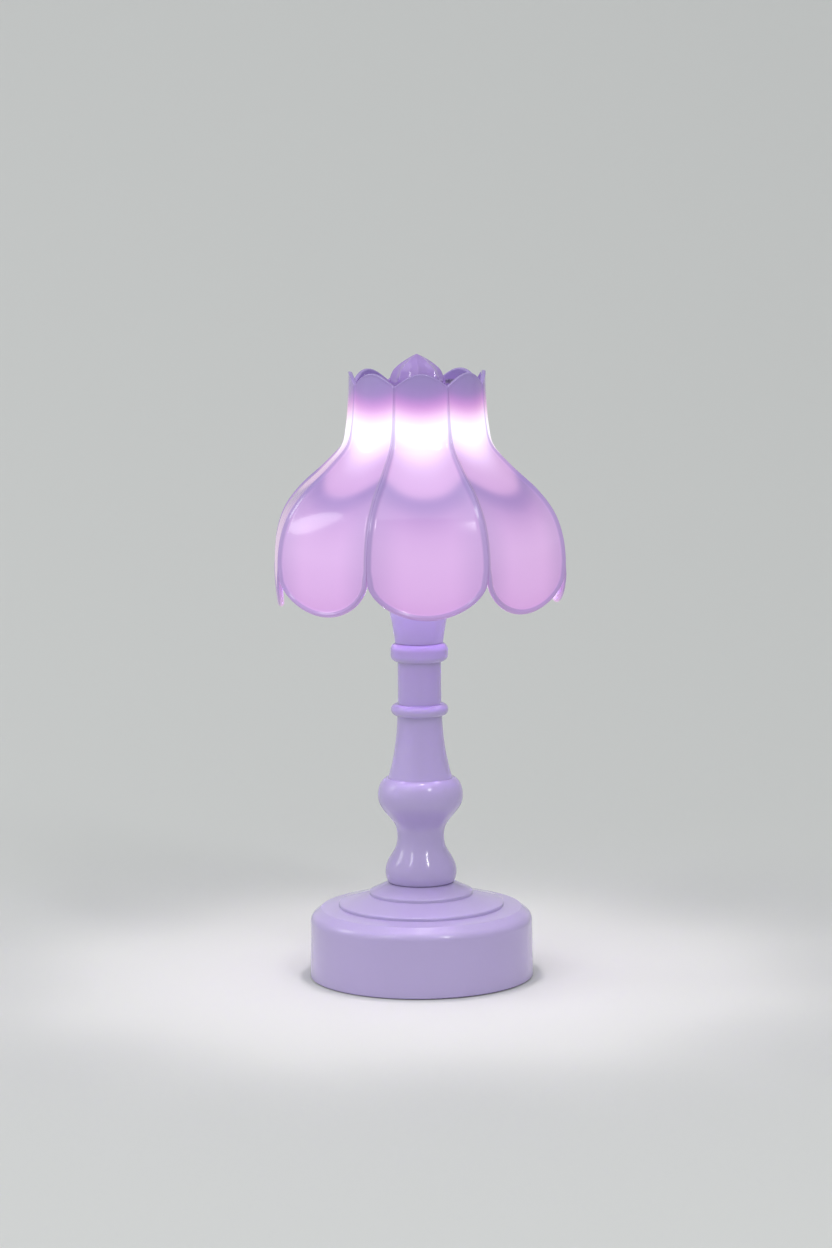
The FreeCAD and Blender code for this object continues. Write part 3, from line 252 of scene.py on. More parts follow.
class Effects:
    """The shader groups that several finishes share."""

    def __init__(self) -> None:
        """Build each group once."""
        self.grain = self.build_grain()
        self.streaks = self.build_streaks()
        self.dust = self.build_dust()
        self.glow = self.build_glow()

    def build_grain(self) -> bpy.types.NodeTree:
        """Moulded plastic's faint unevenness: broad mottling of tint and gloss, and a fine orange-peel height."""
        nodes, given, wanted = new_group(
            "moulded_grain", {"Scale": 1.0, "Mottle": 0.03, "Roughness": 0.2},
            {"Tint": "NodeSocketFloat", "Roughness": "NodeSocketFloat", "Height": "NodeSocketFloat"})
        place = nodes.place()
        broad = nodes.noise(place, nodes.math("MULTIPLY", given["Scale"], 24.0))
        fine = nodes.noise(place, nodes.math("MULTIPLY", given["Scale"], 620.0), 2.0)
        centred = nodes.math("SUBTRACT", broad, 0.5)
        tint = nodes.math("ADD", 1.0, nodes.math("MULTIPLY", centred, given["Mottle"]))
        nodes.feed(tint, wanted["Tint"])
        spread = nodes.math("ADD", 1.0, nodes.math("MULTIPLY", centred, 0.5))
        speck = nodes.math("MULTIPLY_ADD", fine, 0.10, -0.05)
        nodes.feed(nodes.math("MULTIPLY", given["Roughness"], nodes.math("ADD", spread, speck)), wanted["Roughness"])
        nodes.feed(fine, wanted["Height"])
        return nodes.tree

    def build_streaks(self) -> bpy.types.NodeTree:
        """Machining marks: fine noise squeezed along the axis, so it draws rings round turned metal."""
        nodes, given, wanted = new_group(
            "machined_streaks", {"Scale": 1.0, "Roughness": 0.3},
            {"Tint": "NodeSocketFloat", "Roughness": "NodeSocketFloat", "Height": "NodeSocketFloat"})
        squeeze = nodes.add("ShaderNodeMapping")
        squeeze.inputs["Scale"].default_value = (0.15, 0.15, 6.0)
        nodes.feed(nodes.place(), squeeze.inputs["Vector"])
        lines = nodes.noise(squeeze.outputs[0], nodes.math("MULTIPLY", given["Scale"], 500.0), 4.0)
        nodes.feed(nodes.span(lines, 0.3, 0.7, 0.82, 1.06), wanted["Tint"])
        nodes.feed(nodes.math("MULTIPLY", given["Roughness"], nodes.span(lines, 0.3, 0.7, 0.75, 1.3)),
                   wanted["Roughness"])
        nodes.feed(lines, wanted["Height"])
        return nodes.tree

    def build_dust(self) -> bpy.types.NodeTree:
        """Handling dust: where faces look up, in noisy patches, as a 0 to 1 mask."""
        nodes, given, wanted = new_group("handled_dust", {"Amount": 0.1}, {"Mask": "NodeSocketFloat"})
        geometry = nodes.add("ShaderNodeNewGeometry")
        parts = nodes.add("ShaderNodeSeparateXYZ")
        nodes.feed(geometry.outputs["Normal"], parts.inputs[0])
        up = nodes.span(parts.outputs["Z"], 0.55, 1.0)
        patches = nodes.span(nodes.noise(nodes.place(), 60.0, 4.0), 0.42, 0.72)
        nodes.feed(nodes.math("MULTIPLY", nodes.math("MULTIPLY", up, patches), given["Amount"]), wanted["Mask"])
        return nodes.tree

    def build_glow(self) -> bpy.types.NodeTree:
        """Light from the lamp inside, painted onto a petal as an emission colour, with its painted shadow.

        The height is lifted towards the petal's sides below the neck, so every band droops to a smile in the
        petal's middle. A ramp turns that height into the painted light's colour, with a dark painted shadow band
        where the flare shades the wall. The thick bead holds back up to 60 percent of it on the bell and half on
        the neck, and the petal's sides lose up to 30 percent more on the bell and 5 percent from the neck up, all as
        painted dimming.
        """
        nodes, given, wanted = new_group(
            "painted_petal_glow", {"Across": 0.0, "Rim": 0.0, "Sag": 8.0 * MM}, {"Color": "NodeSocketColor"})
        parts = nodes.add("ShaderNodeSeparateXYZ")
        nodes.feed(nodes.place(), parts.inputs[0])
        height = parts.outputs["Z"]
        away = nodes.math("MULTIPLY", given["Across"], given["Across"])
        below_neck = nodes.span(height, 205.0 * MM, 226.0 * MM, 1.0, 0.3)
        lift = nodes.math("MULTIPLY", nodes.math("MULTIPLY", away, given["Sag"]), below_neck)
        level = nodes.math("SUBTRACT", height, lift)
        low, high = PAINTED_GLOW_STOPS[0][0], PAINTED_GLOW_STOPS[-1][0]
        share = nodes.math("DIVIDE", nodes.math("SUBTRACT", level, low * MM), (high - low) * MM)
        color = nodes.ramp(share, [((z - low) / (high - low), c) for z, c in PAINTED_GLOW_STOPS])
        # Painted dimming: the bead and the petal's sides hold back part of the painted light.
        thick = nodes.span(height, 196.0 * MM, 216.0 * MM, 0.60, 0.50)
        held = nodes.math("MULTIPLY", nodes.span(given["Rim"], 0.06, 0.50), thick)
        loss = nodes.span(height, 197.0 * MM, 206.0 * MM, 0.30, 0.05)
        aside = nodes.math("MULTIPLY", nodes.span(nodes.math("ABSOLUTE", given["Across"]), 0.35, 1.0), loss)
        strength = nodes.math("MULTIPLY", nodes.math("SUBTRACT", 1.0, held), nodes.math("SUBTRACT", 1.0, aside))
        scale = nodes.add("ShaderNodeVectorMath", operation="SCALE")
        nodes.feed(color, scale.inputs[0])
        nodes.feed(strength, scale.inputs["Scale"])
        nodes.feed(scale.outputs[0], wanted["Color"])
        return nodes.tree


# Height in millimetres and the painted light's colour at that level of a petal, from the tip up to the neck's rim:
# pink on the bell, a dark painted shadow band near 190 to 197 where the flare shades the wall, white on the neck.
PAINTED_GLOW_STOPS: list[tuple[float, Rgb]] = [
    (150.0, (0.39, 0.15, 0.31)), (158.0, (0.43, 0.20, 0.34)), (172.0, (0.46, 0.25, 0.37)),
    (182.0, (0.40, 0.20, 0.31)), (189.0, (0.26, 0.10, 0.19)), (193.5, (0.08, 0.01, 0.07)),
    (195.8, (0.11, 0.02, 0.09)), (197.8, (0.36, 0.16, 0.25)), (200.5, (0.39, 0.18, 0.28)),
    (205.0, (0.42, 0.22, 0.31)), (210.0, (0.62, 0.40, 0.54)), (216.0, (1.00, 0.88, 1.00)),
    (222.0, (1.00, 1.00, 1.00)), (226.5, (0.76, 0.42, 0.54)), (230.5, (0.37, 0.06, 0.27)),
    (235.0, (0.02, 0.00, 0.05)), (244.0, (0.00, 0.00, 0.00)),
]


# ---- finishes --------------------------------------------------------------------------------------------
@dataclass(frozen=True)
class Finish:
    """A plain moulded or cast surface: one colour with mottling, uneven gloss and a fine height."""

    name: str
    color: Rgb
    roughness: float = 0.3
    metallic: float = 0.0
    coat: float = 0.0
    mottle: float = 0.06
    bump: float = 0.02
    scale: float = 1.0
    dust: float = 0.0
    emission: float = 0.0

    def make(self, effects: Effects) -> bpy.types.Material:
        """Build the material.

        Args:
            effects: the shared shader groups.

        Returns:
            The finished material.
        """
        material = bpy.data.materials.new(self.name)
        material.use_nodes = True
        nodes = Nodes(material.node_tree)
        shader = material.node_tree.nodes["Principled BSDF"]
        shader.inputs["Metallic"].default_value = self.metallic
        shader.inputs["Coat Weight"].default_value = self.coat
        shader.inputs["Coat Roughness"].default_value = 0.06
        surface = nodes.add("ShaderNodeGroup", node_tree=self.texture(effects))
        surface.inputs["Scale"].default_value = self.scale
        surface.inputs["Roughness"].default_value = self.roughness
        if "Mottle" in surface.inputs:
            surface.inputs["Mottle"].default_value = self.mottle
        color = self.pattern(nodes)
        scaled = nodes.add("ShaderNodeVectorMath", operation="SCALE")
        nodes.feed(color, scaled.inputs[0])
        nodes.feed(surface.outputs["Tint"], scaled.inputs["Scale"])
        color, rough = scaled.outputs[0], surface.outputs["Roughness"]
        if self.dust > 0:
            dusty = nodes.add("ShaderNodeGroup", node_tree=effects.dust)
            dusty.inputs["Amount"].default_value = self.dust
            color = nodes.mix(dusty.outputs["Mask"], color, (0.62, 0.61, 0.60, 1.0))
            rough = nodes.math("ADD", rough, nodes.math("MULTIPLY", dusty.outputs["Mask"], 0.4))
        nodes.feed(color, shader.inputs["Base Color"])
        nodes.feed(rough, shader.inputs["Roughness"])
        bump = nodes.add("ShaderNodeBump")
        bump.inputs["Strength"].default_value = self.bump
        bump.inputs["Distance"].default_value = 0.2 * MM
        nodes.feed(surface.outputs["Height"], bump.inputs["Height"])
        nodes.feed(bump.outputs[0], shader.inputs["Normal"])
        self.special(nodes, shader, effects)
        return material

    def texture(self, effects: Effects) -> bpy.types.NodeTree:
        """The shared group that gives the surface its unevenness."""
        return effects.grain

    def pattern(self, nodes: Nodes) -> Socket | tuple:
        """The surface's colour before mottling."""
        return self.color

    def special(self, nodes: Nodes, shader: bpy.types.Node, effects: Effects) -> None:
        """Whatever a finish adds to the plain one."""


@dataclass(frozen=True)
class MetalFinish(Finish):
    """Machined metal with fine turning marks."""

    metallic: float = 1.0

    def texture(self, effects: Effects) -> bpy.types.NodeTree:
        """The machining marks."""
        return effects.streaks


@dataclass(frozen=True)
class PetalFinish(Finish):
    """Glossy tinted plastic that the lamp shines through, its glow and shadow painted in as emission."""

    def special(self, nodes: Nodes, shader: bpy.types.Node, effects: Effects) -> None:
        """Feed the painted light and painted shadow of the glow group into the emission colour.

        Args:
            nodes: the material's tree.
            shader: its Principled BSDF.
            effects: the shared node groups.
        """
        glow = nodes.add("ShaderNodeGroup", node_tree=effects.glow)
        across = nodes.add("ShaderNodeAttribute", attribute_name="across")
        rim = nodes.add("ShaderNodeAttribute", attribute_name="rim")
        nodes.feed(across.outputs["Fac"], glow.inputs["Across"])
        nodes.feed(rim.outputs["Fac"], glow.inputs["Rim"])
        nodes.feed(glow.outputs["Color"], shader.inputs["Emission Color"])
        shader.inputs["Emission Strength"].default_value = self.emission


@dataclass(frozen=True)
class ClearFinish(Finish):
    """Tinted clear acrylic."""

    transmission: float = 0.6
    ior: float = 1.49
    light: Rgb = (0.62, 0.36, 0.85)

    def special(self, nodes: Nodes, shader: bpy.types.Node, effects: Effects) -> None:
        """Let light through and add a faint light of its own from the lamp below.

        Args:
            nodes: the material's tree.
            shader: its Principled BSDF.
            effects: the shared node groups.
        """
        shader.inputs["Transmission Weight"].default_value = self.transmission
        shader.inputs["IOR"].default_value = self.ior
        shader.inputs["Emission Color"].default_value = (*self.light, 1.0)
        shader.inputs["Emission Strength"].default_value = self.emission


@dataclass(frozen=True)
class LitFinish(Finish):
    """A milky or phosphor surface that glows evenly."""

    light: Rgb = (1.0, 0.95, 1.0)

    def special(self, nodes: Nodes, shader: bpy.types.Node, effects: Effects) -> None:
        """Set the even glow.

        Args:
            nodes: the material's tree.
            shader: its Principled BSDF.
            effects: the shared node groups.
        """
        shader.inputs["Emission Color"].default_value = (*self.light, 1.0)
        shader.inputs["Emission Strength"].default_value = self.emission


@dataclass(frozen=True)
class BoardFinish(Finish):
    """Green solder mask with paler copper tracks showing through on a fine grid."""

    track: Rgb = (0.10, 0.36, 0.18)

    def pattern(self, nodes: Nodes) -> Socket:
        """Thin brick-pattern lines stand for the tracks."""
        bricks = nodes.add("ShaderNodeTexBrick", offset=0.35, squash=0.7)
        turn = nodes.add("ShaderNodeMapping")
        turn.inputs["Rotation"].default_value = (math.pi / 2, 0.0, 0.0)
        nodes.feed(nodes.place(), turn.inputs["Vector"])
        nodes.feed(turn.outputs[0], bricks.inputs["Vector"])
        bricks.inputs["Scale"].default_value = 160.0
        bricks.inputs["Mortar Size"].default_value = 0.03
        bricks.inputs["Color1"].default_value = (*self.color[:3], 1.0)
        bricks.inputs["Color2"].default_value = (*[0.9 * c for c in self.color[:3]], 1.0)
        bricks.inputs["Mortar"].default_value = (*self.track, 1.0)
        return bricks.outputs["Color"]


@dataclass(frozen=True)
class CellFinish(Finish):
    """A cell's sleeve: dark, with a coloured band towards one end and bare metal at both ends."""

    band: Rgb = (0.30, 0.45, 0.16)

    def pattern(self, nodes: Nodes) -> Socket:
        """The band follows the distance along X."""
        parts = nodes.add("ShaderNodeSeparateXYZ")
        nodes.feed(nodes.place(), parts.inputs[0])
        far = nodes.math("ABSOLUTE", parts.outputs["X"])
        banded = nodes.mix(nodes.span(far, 11.8 * MM, 12.0 * MM), (*self.color, 1.0), (*self.band, 1.0))
        return nodes.mix(nodes.span(far, 19.4 * MM, 19.6 * MM), banded, (0.62, 0.62, 0.60, 1.0))


FINISHES: dict[Slot, Finish] = {
    Slot.SHELL: Finish("lilac_gloss", (0.455, 0.378, 0.650), roughness=0.17, coat=0.35, mottle=0.05, bump=0.035,
                       dust=0.05),
    # The petal's emission carries the painted glow and painted shadow of the lamp inside.
    Slot.PETAL: PetalFinish("petal_gloss", (0.368, 0.280, 0.600), roughness=0.18, coat=0.5, mottle=0.05, bump=0.03,
                            emission=1.0),
    Slot.BUD: ClearFinish("lilac_clear", (0.52, 0.36, 0.80), roughness=0.10, coat=0.3, mottle=0.04, bump=0.01,
                          emission=0.05, transmission=0.35),
    Slot.WHITE: Finish("white_satin", (0.80, 0.80, 0.82), roughness=0.35, mottle=0.04, bump=0.03, dust=0.05),
    Slot.MILKY: LitFinish("milky_lit", (0.90, 0.88, 0.92), roughness=0.4, mottle=0.03, emission=2.2),
    Slot.DARK: Finish("charcoal_satin", (0.030, 0.030, 0.034), roughness=0.5, mottle=0.2, bump=0.18, dust=0.15),
    Slot.STEEL: MetalFinish("zinc_steel", (0.60, 0.60, 0.62), roughness=0.28, bump=0.05),
    Slot.IRON: MetalFinish("raw_steel", (0.26, 0.25, 0.25), roughness=0.45, bump=0.15, scale=0.4, dust=0.1),
    Slot.ALU: MetalFinish("turned_aluminium", (0.80, 0.80, 0.82), roughness=0.25, bump=0.06, scale=0.7),
    Slot.BRASS: MetalFinish("turned_brass", (0.78, 0.56, 0.25), roughness=0.22, bump=0.04),
    Slot.RUBBER: Finish("black_rubber", (0.020, 0.020, 0.021), roughness=0.75, mottle=0.3, bump=0.25, dust=0.35),
    Slot.BOARD: BoardFinish("green_mask", (0.015, 0.16, 0.06), roughness=0.3, mottle=0.1),
    Slot.LED: LitFinish("phosphor", (0.85, 0.75, 0.30), roughness=0.4, emission=6.0, light=(1.0, 0.96, 0.92)),
    Slot.LEAD: Finish("grey_sheath", (0.45, 0.45, 0.46), roughness=0.5, mottle=0.1, bump=0.08),
    Slot.CELL: CellFinish("cell_sleeve", (0.02, 0.024, 0.035), roughness=0.25, coat=0.3),
}


class Finishes:
    """Every finish as a material, made once and handed out by slot."""

    def __init__(self) -> None:
        """Build the shared groups and all the materials."""
        effects = Effects()
        self.made = {slot: finish.make(effects) for slot, finish in FINISHES.items()}

    def dress(self, obj: bpy.types.Object, slot: Slot) -> None:
        """Put a slot's material on an object as its only one."""
        obj.data.materials.clear()
        obj.data.materials.append(self.made[slot])


# ---- surfaces --------------------------------------------------------------------------------------------
def mesh_from_grid(name: str, grid: np.ndarray, marks: dict[str, np.ndarray] | None = None,
                   smooth: bool = True) -> bpy.types.Object:
    """Make a closed mesh from a grid of points whose first axis is a ring.

    Each quad joins a point to the next along both axes. Points that fall together are merged, which zips the two
    ends of the ring shut, or closes them to a pole.

    Args:
        name: the new object's name.
        grid: points, shaped (ring, along, 3), in metres.
        marks: extra per-point values to keep as float attributes, shaped (ring, along).
        smooth: whether to shade it smooth.

    Returns:
        The new object, linked to the scene.
    """
    ring, along = grid.shape[:2]
    index = np.arange(ring * along).reshape(ring, along)
    here, ahead = index, np.roll(index, -1, axis=0)
    quads = np.stack([here[:, :-1], here[:, 1:], ahead[:, 1:], ahead[:, :-1]], axis=-1).reshape(-1, 4)
    mesh = bpy.data.meshes.new(name)
    mesh.from_pydata(grid.reshape(-1, 3).tolist(), [], quads.tolist())
    for key, values in (marks or {}).items():
        mark = mesh.attributes.new(key, "FLOAT", "POINT")
        mark.data.foreach_set("value", values.astype(np.float32).ravel())
    solid = bmesh.new()
    solid.from_mesh(mesh)
    bmesh.ops.remove_doubles(solid, verts=solid.verts, dist=1e-7)
    bmesh.ops.dissolve_degenerate(solid, edges=solid.edges, dist=1e-8)
    if solid.calc_volume(signed=True) < 0:
        bmesh.ops.reverse_faces(solid, faces=solid.faces)
    solid.to_mesh(mesh)
    solid.free()
    if smooth:
        mesh.shade_smooth()
    obj = bpy.data.objects.new(name, mesh)
    bpy.context.scene.collection.objects.link(obj)
    return obj


def smooth_profile(profile: tuple, height: np.ndarray) -> tuple[np.ndarray, np.ndarray]:
    """Radius and slope of a smooth cubic through (height, radius) points.

    Between two points the radius is the Hermite cubic whose end slopes are the chords of their neighbours.

    Args:
        profile: (height, radius) pairs.
        height: where to read it.

    Returns:
        The radius and its slope at each height.
    """
    points = np.array(sorted(profile))
    z, r = points[:, 0], points[:, 1]
    after, before = np.minimum(np.arange(len(z)) + 1, len(z) - 1), np.maximum(np.arange(len(z)) - 1, 0)
    slopes = (r[after] - r[before]) / (z[after] - z[before])
    i = np.clip(np.searchsorted(z, height) - 1, 0, len(z) - 2)
    span = z[i + 1] - z[i]
    t = np.clip((height - z[i]) / span, 0.0, 1.0)
    m0, m1 = slopes[i] * span, slopes[i + 1] * span
    value = ((2 * t**3 - 3 * t**2 + 1) * r[i] + (t**3 - 2 * t**2 + t) * m0
             + (3 * t**2 - 2 * t**3) * r[i + 1] + (t**3 - t**2) * m1)
    slope = ((6 * t**2 - 6 * t) * r[i] + (3 * t**2 - 4 * t + 1) * m0
             + (6 * t - 6 * t**2) * r[i + 1] + (3 * t**2 - 2 * t) * m1) / span
    return value, slope


# ---- sub-assemblies --------------------------------------------------------------------------------------
@dataclass
class Petals:
    """The eight petals of the shade. Sizes are in millimetres."""

    count: int = 8
    wall: float = 1.5
    gap: float = 0.03
    rim_width: float = 2.6
    rim_height: float = 1.1
    seam_width: tuple = (2.3, 1.2)
    seam_height: tuple = (1.0, 0.5)
    seam_heights: tuple = (203.0, 226.0)
    part_heights: tuple = (163.5, 171.0)
    lip_width: float = 1.2
    lip_height: float = 0.25
    seam_edge: float = 0.15
    lip_edge: float = 0.6
    notch_z: float = 238.5
    scallop: float = 4.9
    tip_z: float = 167.2
    tip_height: float = 16.6
    tip_arc: float = math.radians(80.0)
    profile: tuple = ((243.4, 27.0), (232.0, 27.4), (221.0, 28.4), (213.6, 30.3), (205.5, 37.3), (196.9, 46.6),
                      (188.5, 52.9), (179.0, 56.1), (168.0, 57.0), (159.0, 56.5), (150.6, 54.8))
    corner_heights: tuple = (165.0, 209.0, 219.0)
    corner_shares: tuple = (0.058, 0.040, 0.0)
    tab: tuple = (9.0, 8.4, 236.02, 237.48)
    band_steps: int = 13
    across_steps: int = 22
    down_steps: int = 96

    @property
    def half_angle(self) -> float:
        """Half a petal's share of the turn."""
        return math.pi / self.count

    def radius(self, angle: np.ndarray, height: np.ndarray) -> np.ndarray:
        """Outer radius of the panel.

        The middle's radius grows towards the sides as the secant of the angle does, which flattens the panel, by
        a share that rises from none at the neck.

        Args:
            angle: from the petal's middle line.
            height: above the table.

        Returns:
            The radius at each point.
        """
        middle = smooth_profile(self.profile, height)[0]
        share = np.interp(height, self.corner_heights, self.corner_shares)
        flat = (1 / np.cos(angle) - 1) / (1 / math.cos(self.half_angle) - 1)
        return middle * (1 + share * flat)

    def outline(self, share: np.ndarray) -> tuple[np.ndarray, np.ndarray, np.ndarray]:
        """Top and bottom of the petal across its width.

        The top is a cosine arch over the notches. The bottom is most of a half ellipse.

        Args:
            share: -1 to 1 across the petal.

        Returns:
            The top's height, the bottom's height and the bottom's steepness.
        """
        top = self.notch_z + self.scallop * np.cos(share * math.pi / 2)
        turn = np.arcsin(np.clip(share * math.sin(self.tip_arc), -1, 1))
        bottom = self.tip_z - self.tip_height * np.cos(turn)
        half_width = self.half_angle * self.profile[-3][1]
        steep = self.tip_height * np.sin(np.abs(turn)) / (half_width / math.sin(self.tip_arc) * np.cos(turn))
        return top, bottom, steep

    def bead(self, distance: np.ndarray, inner: bool) -> np.ndarray:
        """Offset of a face from the panel round the tip, by distance from the outline.

        Out to half the bead's width both faces are quarter ellipses about one centre, so they meet in a round
        edge. Beyond it the outer face eases down to the panel on a smooth step and the inner one runs level.

        Args:
            distance: in from the outline.
            inner: whether it is the inner face.

        Returns:
            How far the face stands out from the panel, negative inwards.
        """
        half = self.rim_width / 2
        centre = (self.rim_height - self.wall) / 2
        reach = (self.rim_height + self.wall) / 2
        arc = reach * np.sqrt(np.clip(1 - (1 - np.minimum(distance / half, 1.0)) ** 2, 0, 1))
        if inner:
            return centre - arc
        fall = np.clip((distance - half) / (self.rim_width * 0.5), 0, 1)
        ease = self.rim_height * (1 - fall**2 * (3 - 2 * fall))
        return np.where(distance < half, centre + arc, ease)

    def seam(self, side: np.ndarray, above: np.ndarray, height: np.ndarray, inner: bool) -> np.ndarray:
        """Offset of a face where the petal meets its neighbour, and along its top.

        The outer face rises on a cosine to a crest at the seam, so that two petals make one ridge, and to a thin
        lip at the top. Both faces are rounded off by quarter circles at the very edge.

        Args:
            side: in from the seam.
            above: down from the top.
            height: above the table.
            inner: whether it is the inner face.

        Returns:
            How far the face stands out from the panel, negative inwards.
        """
        round_side = self.seam_edge * (1 - np.sqrt(1 - (1 - np.minimum(side / self.seam_edge, 1)) ** 2))
        round_top = self.lip_edge * (1 - np.sqrt(1 - (1 - np.minimum(above / self.lip_edge, 1)) ** 2))
        off = np.maximum(round_side, round_top)
        if inner:
            return off - self.wall
        crest = np.interp(height, self.seam_heights, self.seam_height)
        width = np.interp(height, self.seam_heights, self.seam_width)
        ridge = crest * (1 + np.cos(math.pi * np.minimum(side / width, 1))) / 2
        lip = self.lip_height * (1 + np.cos(math.pi * np.minimum(above / self.lip_width, 1))) / 2
        return np.maximum(ridge, lip) - off

    def steps(self, interior: int) -> tuple[np.ndarray, np.ndarray]:
        """Grid lines across one direction: closely spaced in the bead's bands, even between them.

        Args:
            interior: how many lines lie between the two bands.

        Returns:
            For each line, its distance from the nearest edge if it is in a band, else 0, and its place from -1 to
            1 between the bands, or exactly -1 or 1 in a band.
        """
        turn = np.linspace(0, 1, self.band_steps)
        band = self.rim_width * (1 - np.cos(turn * math.pi / 2))
        place = np.linspace(-1, 1, interior + 2)[1:-1]
        distance = np.concatenate([band, np.zeros(interior), band[::-1]])
        place = np.concatenate([np.full(len(band), -1.0), place, np.full(len(band), 1.0)])
        return distance, place

    def face(self, inner: bool) -> tuple[np.ndarray, np.ndarray, np.ndarray]:
        """One face of petal 1.

        The grid lines keep their distance from the outline inside the bead, and the height and angle of each
        point are settled together by repeating a few times.

        Args:
            inner: which face.

        Returns:
            The points in metres, the raised rim's share from 0 to 1 and the place across from -1 to 1.
        """
        side_d, side_p = (a[:, None] for a in self.steps(self.across_steps))
        down_d, down_p = (a[None, :] for a in self.steps(self.down_steps))
        across_band, down_band = np.abs(side_p) == 1, np.abs(down_p) == 1
        height = np.broadcast_to(np.linspace(240, 155, down_p.shape[1])[None, :], (side_p.shape[0], down_p.shape[1]))
        for _ in range(14):
            panel = self.radius(np.zeros_like(height), height)
            limit = self.half_angle - self.gap / panel
            angle = np.where(across_band, np.sign(side_p) * (limit - side_d / panel),
                             side_p * (limit - self.rim_width / panel))
            top, bottom, steep = self.outline(angle / limit)
            stretch = np.minimum(np.sqrt(1 + steep**2), 4.5)
            upper, lower = top - self.rim_width, bottom + self.rim_width * stretch
            between = (down_p + 1) / 2
            middle = upper + (lower - upper) * between
            edge = np.where(down_p < 0, top - down_d, bottom + down_d * stretch)
            height = np.where(down_band, edge, middle)
        slope = smooth_profile(self.profile, height)[1]
        norm = np.sqrt(1 + slope**2)
        radius = self.radius(angle, height)
        side = np.maximum((limit - np.abs(angle)) * radius, 1e-9)
        below = np.maximum((height - bottom) / np.sqrt(1 + steep**2), 1e-9)
        above = np.maximum((top - height) * norm, 1e-9)
        distance = (side**-4 + below**-4 + above**-4) ** -0.25
        low, high = self.part_heights
        joined = np.clip((height - low) / (high - low), 0, 1)
        joined = joined**2 * (3 - 2 * joined)
        offset = joined * self.seam(side, above, height, inner) + (1 - joined) * self.bead(distance, inner)
        radius = radius + offset / norm
        height = height - offset * slope / norm
        points = np.stack([radius * np.sin(angle), -radius * np.cos(angle), height], axis=-1) * MM
        rim = np.zeros_like(offset) if inner else np.clip(offset / self.rim_height, 0, 1)
        return points, rim, angle / limit

    def tab_block(self) -> np.ndarray:
        """The inward tab that is screwed to the hub: a plain block from the petal's inner face, as a ring grid."""
        width, reach, low, high = self.tab
        middle = (low + high) / 2
        wall = self.wall - smooth_profile(self.profile, np.array([middle]))[0][0]
        corners = [(-width / 2, low), (width / 2, low), (width / 2, high), (-width / 2, high)]
        rows = [[(0, wall - 0.7, middle), (x, wall - 0.7, z), (x, wall + reach, z), (0, wall + reach, middle)]
                for x, z in corners]
        return np.array(rows) * MM

    def build(self, finishes: Finishes) -> None:
        """Make the petals, one per frame node, and ride them on the shade.

        Args:
            finishes: the materials.
        """
        (outer, outer_rim, outer_a), (inner, inner_rim, inner_a) = self.face(False), self.face(True)
        ends = (outer[:, [0, -1]] + inner[:, [0, -1]]) / 2
        outer, inner = (np.concatenate([ends[:, :1], face, ends[:, 1:]], axis=1) for face in (outer, inner))
        grid = np.concatenate([outer, inner[::-1]])
        marks = {"rim": np.concatenate([outer_rim, inner_rim[::-1]]),
                 "across": np.concatenate([outer_a, inner_a[::-1]])}
        marks = {key: np.pad(values, ((0, 0), (1, 1)), mode="edge") for key, values in marks.items()}
        tab = self.tab_block()
        for number in range(1, self.count + 1):
            turn = np.array(Matrix.Rotation(2 * self.half_angle * (number - 1), 3, "Z"))
            petal = mesh_from_grid(f"petal_panel_{number}", grid @ turn.T, marks)
            foot = mesh_from_grid(f"petal_tab_{number}", tab @ turn.T, smooth=False)
            for piece in (petal, foot):
                finishes.dress(piece, Slot.PETAL)
                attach(piece, "shade")
                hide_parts(f"petal_{number}")
        LOG.info("petals: %d pieces of %d faces", self.count, len(petal.data.polygons))


@dataclass
class Bud:
    """The clear finial: a pointed bud with eight ridges over the brass insert. Sizes are in millimetres."""

    ridges: int = 8
    hollow: float = 0.13
    profile: tuple = ((0.0, 9.5), (2.5, 10.75), (5.6, 9.9), (7.3, 8.8), (9.5, 6.2), (11.3, 3.4), (12.3, 1.55),
                      (12.9, 0.25))
    around_steps: int = 192
    up_steps: int = 56

    def build(self, finishes: Finishes) -> None:
        """Carry the ribbed profile round the axis.

        The radius at a height is the profile's, drawn in between ridges by the hollow times a rectified sine, and
        easing off at the foot. The ring ends on the tip, and underneath it follows the insert's bore.

        Args:
            finishes: the materials.
        """
        low, high = (np.array(c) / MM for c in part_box("finial_bud"))
        insert_high = np.array(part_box("finial_insert")[1]) / MM
        bore, roof = insert_high[0] + 0.02, insert_high[2] + 0.02
        rise = np.sin(np.linspace(0, math.pi / 2, self.up_steps)) * self.profile[-1][0]
        radius = smooth_profile(self.profile, rise)[0]
        ridge = np.clip(rise / 3.0, 0, 1)
        foot = low[2] + 0.02
        out = np.concatenate([[0, bore * 0.5, bore], [bore, radius[0] - 0.4], radius, [0]])
        level = np.concatenate([[roof] * 3, [foot, foot], foot + rise, [high[2] - 0.01]])
        depth = np.concatenate([[0] * 5, ridge, [0]])
        turn = np.linspace(0, 2 * math.pi, self.around_steps, endpoint=False)[:, None]
        hollow = 1 - self.hollow * depth[None, :] * np.abs(np.sin(turn * self.ridges / 2)) ** 0.8
        reach = out[None, :] * hollow
        grid = np.stack([reach * np.sin(turn), -reach * np.cos(turn), np.broadcast_to(level, reach.shape)], axis=-1)
        bud = mesh_from_grid("clear_bud", grid * MM)
        finishes.dress(bud, Slot.BUD)
        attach(bud, "finial")
        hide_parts("finial_bud")
        LOG.info("bud: %d faces", len(bud.data.polygons))


class Fittings:
    """The frame's own nodes, each dressed in the finish that the record names for it."""

    def dress(self, frame: dict, finishes: Finishes) -> None:
        """Give every shown node its finish.

        Args:
            frame: what the frame loader returned.
            finishes: the materials.
        """
        slots = {part["node"]: Slot(part["material_slot"]) for part in frame["record"]["subparts"]}
        for name, node in sorted(frame["nodes"].items()):
            finishes.dress(node, slots[name])
        LOG.info("fittings: %d nodes dressed", len(frame["nodes"]))


